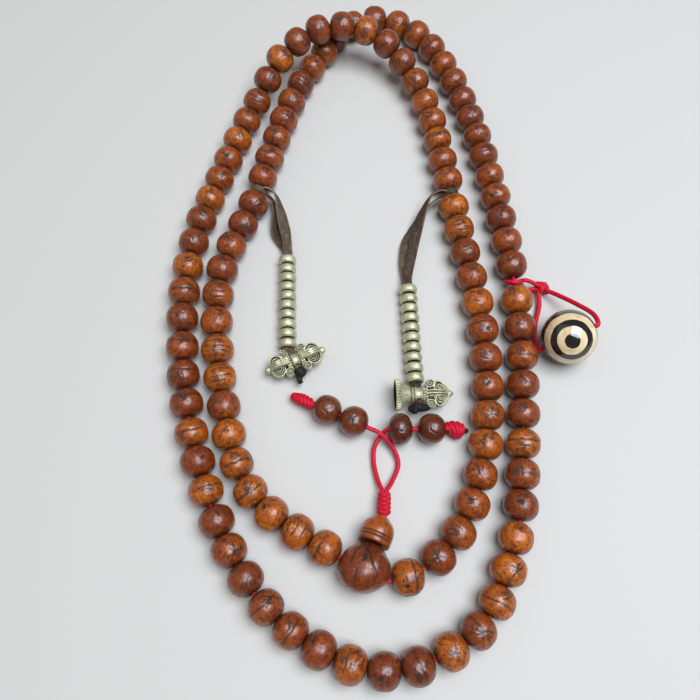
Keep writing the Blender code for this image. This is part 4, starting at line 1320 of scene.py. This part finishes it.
def make_bell(hub, hub_axis, axis):
    """A hollow fluted bell with half a vajra for its handle."""
    z = unit(axis)
    x = unit(UP - z * (UP @ z))
    axes = (hub, x, np.cross(z, x), z)
    skirt = dense((
        (0.05, -2.9), (1.4, -3.0), (1.9, -3.6), (2.5, -4.5), (3.2, -5.5), (3.8, -6.4), (4.2, -6.9),
        (4.5, -6.95), (4.62, -6.6), (4.5, -5.9), (4.2, -5.3), (3.85, -5.1), (3.75, -4.9), (3.5, -4.5),
        (3.0, -3.7), (2.6, -3.0), (2.4, -2.5), (2.0, -2.35), (1.8, -2.1), (1.8, -1.35), (2.05, -1.2),
        (2.3, -1.0), (2.28, -0.72), (2.08, -0.55), (2.1, 0.0), (2.08, 0.55), (2.28, 0.72), (2.3, 1.0),
        (2.05, 1.2), (1.75, 1.35), (1.75, 1.9), (2.0, 2.1), (2.05, 2.4), (1.8, 2.7), (0.05, 2.8)), 0.18)

    def flutes(theta, r, h):
        flange = (h > -6.8) & (h < -5.25) & (r > 3.95)
        return r + 0.26 * np.cos(32 * theta) * flange

    made = [turned(skirt, 228, axes, flutes, loop=False)]
    for a in ring_angles(18):
        spot = hub - z * 1.75 + 1.95 * (math.cos(a) * axes[1] + math.sin(a) * axes[2])
        made.append(stud(spot, axes[1], axes[2], 0.32))
    made += crown(axes, 1, 7.9, 3.8, 2.4, BELL_CROWN)
    # painted shade inside the bell's cup, through the hollow attribute
    finish_metal("bell", made, axes, hub_axis,
                 lambda r, h: np.clip((-6.75 - h + (4.3 - r) * 4.0) / 0.8, 0, 1) * (h < -2.6)
                 * (r < np.interp(h, [-6.9, -5.5, -4.5, -3.6, -2.9], [4.32, 3.42, 2.72, 2.1, 1.6])))


def pebble(centre, axes, radii):
    """Closed rounded lump with three half lengths."""
    polar = np.linspace(0.08, math.pi - 0.08, 17)[:, None]
    theta = ring_angles(26)[None, :]
    ways = (np.sin(polar) * np.cos(theta), np.sin(polar) * np.sin(theta),
            np.cos(polar) * np.ones_like(theta))
    return shell(centre + sum(w[..., None] * r * a for w, r, a in zip(ways, radii, axes[1:])))


def leather_knot(name, centre, along, lumps, bands, tails, body, node):
    """Strap ends pulled into a small tight knot: lumps, folds and tails.

    Places are (across, along) from the centre, in the plane of the table."""
    axes = axes_for(centre, along)
    across = np.cross(axes[3], UP)

    def at(place, lift=0.0):
        return centre + across * place[0] + axes[3] * place[1] + UP * lift

    def facing(degrees):
        return across * math.sin(math.radians(degrees)) + axes[3] * math.cos(math.radians(degrees))

    shells = [pebble(at(place), axes_for(at(place), facing(turn)), radii) for place, turn, radii in lumps]
    for place, turn, radius, tilt in bands:
        shells.append(coil(at(place), facing(turn), radius, 0.46, tilt))
        shells.append(coil(at(place) + facing(turn) * 0.6, facing(turn), radius * 0.97, 0.42, tilt))
    for points in tails:
        shells.append(strip(path([at(p[:2], p[2]) for p in points], 0.3), 1.5, 0.7, 20.0))
    mesh = cast(name, [(v[:, :3], f) for v, f in shells], LEATHER_VOXEL, 3)
    points = coordinates(mesh)
    points += units(points - centre) * (0.08 * ripples(points, np.random.default_rng(12), 2.2))[:, None]
    move_to(mesh, points)
    to_local(mesh, axes)
    write(mesh, "edge", np.clip(ripples(points, np.random.default_rng(9), 2.5) * 0.3 + 0.6, 0, 1))
    add(name, mesh, BLACK_LEATHER, body, node, sharp=0)


STRIP_AT = (0, 0.06, 0.16, 0.25, 0.31, 0.86, 0.93, 1)
STRIP_WIDTH = (2.1, 3.1, 3.7, 3.6, 3.1, 3.1, 2.0, 2.0)
ROLL_AT = (0, 0.06, 0.12, 0.22, 0.3, 1)
FRONT_ROLL = (70, 72, 55, 16, 0, 0)
REAR_ROLL = (40, 60, 66, 48, 0, 0)


def strap(side, bead, way, front, rear, ending, front_coat, rear_coat, band):
    """Doubled strap: a band round the strand's cord, and two strips.

    The strips roll on their edges by way, +1 or -1, and share their ending."""
    body, node = "counter_" + side, "strap_" + side
    axes = axes_for(gap_after(bead), gap_axis(bead))
    theta = ring_angles(BAND_AROUND)
    shells = []
    for k, (radius, shift, lean) in enumerate(band):
        line = axes[0] + radius * np.cos(theta)[:, None] * axes[1] \
            + radius * np.sin(theta)[:, None] * axes[2] + (shift + lean * np.sin(theta))[:, None] * axes[3]
        section = ring_angles(20)
        flat = rounded(np.cos(section), 0.4) * BAND_HALF_WIDTH
        high = rounded(np.sin(section), 0.6) * BAND_HALF_THICKNESS
        out = units(line - axes[0])
        xyz = line[:, None] + flat[None, :, None] * axes[3] + high[None, :, None] * out[:, None]
        local = np.stack([np.repeat(flat[None], BAND_AROUND, 0),
                          np.repeat(high[None], BAND_AROUND, 0) + k * 5,
                          np.repeat((theta * radius)[:, None], len(section), 1)], -1)
        edge = np.repeat(np.abs(flat / BAND_HALF_WIDTH)[None, :, None], BAND_AROUND, 0)
        shells.append(shell(np.concatenate([xyz, local, edge], -1), True))
    add("strap_%s_band" % side, mesh_from("band", shells, ("edge",)), front_coat, body, node)
    for label, points, coat, roll, cup, lift in (("front", front, front_coat, FRONT_ROLL, -0.16, 0.36),
                                                 ("rear", rear, rear_coat, REAR_ROLL, -0.05, -0.36)):
        places = path(points + ending, 0.35)
        share = np.linspace(0, 1, len(places))
        wave = 0.12 * np.sin(share * 40) * np.clip(1 - share * 3.5, 0, 1)
        shells = [strip(places + wave[:, None] * UP, np.interp(share, STRIP_AT, STRIP_WIDTH),
                        STRIP_THICK, way * np.interp(share, ROLL_AT, roll), cup, lift)]
        add("strap_%s_%s" % (side, label), mesh_from(label, shells, ("edge",)), coat, body, node)


def joint_place(name):
    return np.array(JOINTS[name]["pos_m"]) / MM


left_hub, left_axis = joint_place("vajra_spin"), heading(-67.5)
right_hub, right_axis = joint_place("bell_spin"), heading(-88.0)
left_rings = (np.array([-24.0, 95.8, 2.8]), np.array([-23.0, 66.5, 2.8]))
right_rings = (np.array([14.8, 85.1, 2.8]), np.array([15.9, 55.2, 2.8]))
make_rings("left", *left_rings)
make_rings("right", *right_rings)
make_vajra(left_hub, left_axis, heading(22.5))
make_bell(right_hub, right_axis, heading(2.0, 1.0))
leather_knot("knot_left", left_hub + left_axis * 4.3, left_axis,
             (((0, 0), 25, (1.7, 1.4, 1.9)), ((0.9, 1.8), 60, (0.8, 0.7, 1.1))),
             (((0, -0.2), 60, 1.35, 20), ((0, 0.3), -35, 1.2, -15)),
             (((0, 0, 0), (0.9, 1.2, -0.2), (1.0, 2.9, -1.2)),), "counter_left", "strap_left")
leather_knot("knot_right", right_hub + right_axis * 4.1, right_axis,
             (((0.2, 0), 88, (1.5, 1.35, 3.0)), ((-1.7, 0.1), 84, (1.05, 1.0, 2.0)),
              ((1.6, 0.1), 80, (1.2, 1.25, 1.7))),
             (((0.9, 0.1), 76, 1.25, -18),), (), "counter_right", "strap_right")

left_gap, right_gap = gap_after(LEFT_COUNTER_AFTER), gap_after(RIGHT_COUNTER_AFTER)


def tail(rings, hub, hub_axis):
    """Places of a strap from just above its rings to its end knot."""
    run = unit(rings[1] - rings[0])
    return [rings[0] - run * 4.2, rings[0], (rings[0] + rings[1]) / 2, rings[1], rings[1] + run * 1.8,
            hub - hub_axis * 2.6, hub, hub + hub_axis * 4.2]


strap("left", LEFT_COUNTER_AFTER, 1,
      [left_gap + (1.5, -0.2, 1.2), (-31.3, 121.2, 6.3), (-28.9, 119.3, 6.0), (-27.4, 115.8, 4.6),
       (-25.9, 110.2, 3.3), (-24.6, 104.6, 2.8)],
      [left_gap + (1.5, -0.4, -1.0), (-31.0, 120.6, 3.6), (-29.0, 118.0, 3.2), (-28.4, 113.0, 2.2),
       (-28.2, 107.6, 1.5), (-25.9, 103.0, 2.0)],
      tail(left_rings, left_hub, left_axis), TAUPE_LEATHER, BROWN_LEATHER,
      ((1.45, 0.0, 0.15), (2.15, 0.1, -0.25)))
strap("right", RIGHT_COUNTER_AFTER, -1,
      [right_gap + (-1.5, -0.2, 1.2), (26.6, 120.2, 6.2), (23.6, 118.6, 5.9), (21.2, 114.8, 4.8),
       (18.6, 107.6, 3.6), (16.6, 98.6, 2.9)],
      [right_gap + (-1.5, -0.4, -1.0), (26.2, 119.6, 3.6), (22.8, 117.2, 3.2), (18.8, 112.4, 2.2),
       (15.3, 105.4, 1.6), (13.9, 96.6, 1.9)],
      tail(right_rings, right_hub, right_axis), BROWN_LEATHER, TAUPE_LEATHER,
      ((1.45, 0.0, 0.15), (2.1, 0.1, -0.2)))


# -------------------------------------------------------------------- the charm
charm_centre = joint_place("charm_bead_spin")
charm_axis = np.array(JOINTS["charm_bead_spin"]["axis"])


def make_charm_bead():
    """Round drilled bead; each point knows its angle from the eye's middle."""
    start = math.asin(1.3 / CHARM_R)
    polar = np.linspace(start, math.pi - start, 140)
    outline = [(CHARM_R * math.sin(a), CHARM_R * math.cos(a)) for a in polar]
    top = outline[0][1]
    outline += [(1.16, -top + 0.08), (1.12, -top + 0.4), (1.12, 0.0), (1.12, top - 0.4),
                (1.16, top - 0.08)]
    toward_camera = unit(CAMERA_AT - charm_centre)
    axes = axes_for(charm_centre, charm_axis, toward_camera)
    verts, faces = turned(outline, 220, axes)
    out = units(verts[:, :3] - charm_centre)
    eye = unit(toward_camera + EYE_LEAN * heading(EYE_WAY))
    angle = np.degrees(np.arccos(np.clip(np.abs(out @ eye), -1, 1)))
    ring = np.hypot(verts[:, 3], verts[:, 4])
    angle = np.where(ring < 1.2, 89.0, angle)
    verts = np.hstack([verts, angle[:, None]])
    stone = mesh_from("charm", [(verts, faces)], ("angle",))
    add("charm_bead_stone", stone, EYE_STONE, "charm_bead", "charm_bead", sharp=0)


make_charm_bead()

charm_gap = gap_after(CHARM_AFTER)
charm_knot = np.array([57.5, 86.1, 2.6])
out_from_strand = unit(charm_knot - charm_gap)
charm_near = charm_centre - charm_axis * (CHARM_R + 1.3)
charm_far = charm_centre + charm_axis * (CHARM_R + 0.7)
legs = path([charm_knot + (0.3, 0.6, 0.3), charm_knot + (-0.9, -0.6, 0.0), (56.4, 80.5, 1.8),
             (54.6, 74.0, 1.5), (53.6, 67.6, 2.2), charm_near, charm_centre - charm_axis * CHARM_R * 0.8,
             charm_centre + charm_axis * CHARM_R * 0.8, charm_far, (69.6, 72.2, 11.6), (66.0, 77.6, 8.2),
             (60.6, 83.6, 3.9), charm_knot + (0.9, -0.6, 0.0), charm_knot + (-0.2, 0.6, 0.2)], 0.22)
hitch_axes = axes_for(charm_gap, gap_axis(CHARM_AFTER), out_from_strand)
swing = np.radians(np.linspace(-140, 140, 40))
hoop = [charm_gap - hitch_axes[1] * 0.35
        + HITCH_R * (-math.cos(a) * hitch_axes[1] + math.sin(a) * hitch_axes[2])
        + hitch_axes[3] * HITCH_LEAN * math.sin(a) for a in swing]
spread_side = hitch_axes[3] * HITCH_LEAN
hoop = path([charm_knot + UP * 0.7 - out_from_strand * 0.5,
             charm_gap + out_from_strand * 3.8 + UP * 0.85 + spread_side] + hoop[::-4]
            + [charm_gap + out_from_strand * 3.8 - UP * 0.85 - spread_side,
               charm_knot - UP * 0.6 - out_from_strand * 0.5], 0.2)
add_cord("charm_cord_legs", [tube(legs, CHARM_CORD_R)], "charm", "charm_cord")
add_cord("charm_cord_hitch", [tube(hoop, CHARM_CORD_R * 0.95)], "charm", "charm_cord")
knot_shells = [coil(charm_knot + out_from_strand * at, out_from_strand, radius, 0.68, tilt, squash=0.85)
               for at, radius, tilt in ((-0.9, 1.3, 26), (0.2, 1.5, -28), (1.25, 1.25, 22))]
knot_shells.append(tube(path([charm_knot + (-0.9, 1.4, 0.3), charm_knot + (0.2, 0.6, 1.5),
                              charm_knot + (1.3, -0.9, 0.5)], 0.25), 0.68))
add_cord("charm_cord_knot", knot_shells, "charm", "charm_cord")


# ------------------------------------------------------------ floor and lights
def area_light(name, place, aim, size, power, colour):
    data = bpy.data.lights.new(name, "AREA")
    data.shape = "RECTANGLE"
    data.size, data.size_y = size
    data.energy = power
    data.color = colour
    lamp = placed(name, data)
    lamp.location = place
    lamp.rotation_euler = (Vector(aim) - Vector(place)).to_track_quat("-Z", "Y").to_euler()


FLOOR_REACH = 3.0
floor_mesh = bpy.data.meshes.new("floor")
corners = [(x * FLOOR_REACH, y * FLOOR_REACH, 0) for x, y in ((-1, -1), (1, -1), (1, 1), (-1, 1))]
floor_mesh.from_pydata(corners, [], [(0, 1, 2, 3)])
floor_coat = Coat("floor", Base_Color=(0.54, 0.52, 0.49), Roughness=0.7)
floor_mesh.materials.append(floor_coat.material)
floor = placed("floor", floor_mesh)
floor.location.z = -0.05 * MM

MIDDLE = (0.0, 0.09, 0.0)
area_light("key", (0.25, 0.02, 0.86), MIDDLE, (0.66, 0.60), 11.8, (0.88, 0.95, 1.04))
area_light("fill", (-0.6, 0.3, 0.8), MIDDLE, (0.8, 0.8), 1.0, (1.0, 0.93, 0.85))

world = bpy.data.worlds.new("studio")
bpy.context.scene.world = world
world.use_nodes = True
sky = world.node_tree.nodes["Background"].inputs
sky["Color"].default_value = (1.0, 0.95, 0.89, 1.0)
sky["Strength"].default_value = 0.20
bpy.context.scene.view_settings.view_transform = "Standard"

camera_data = bpy.data.cameras.new("camera")
camera_data.lens = 35.5
camera_data.sensor_width = 36.0
camera_data.clip_start = 0.01
camera = placed("camera", camera_data)
camera.location = Vector(CAMERA_AT) * MM
camera.rotation_euler = (math.radians(CAMERA_TILT), 0.0, 0.0)
bpy.context.scene.camera = camera
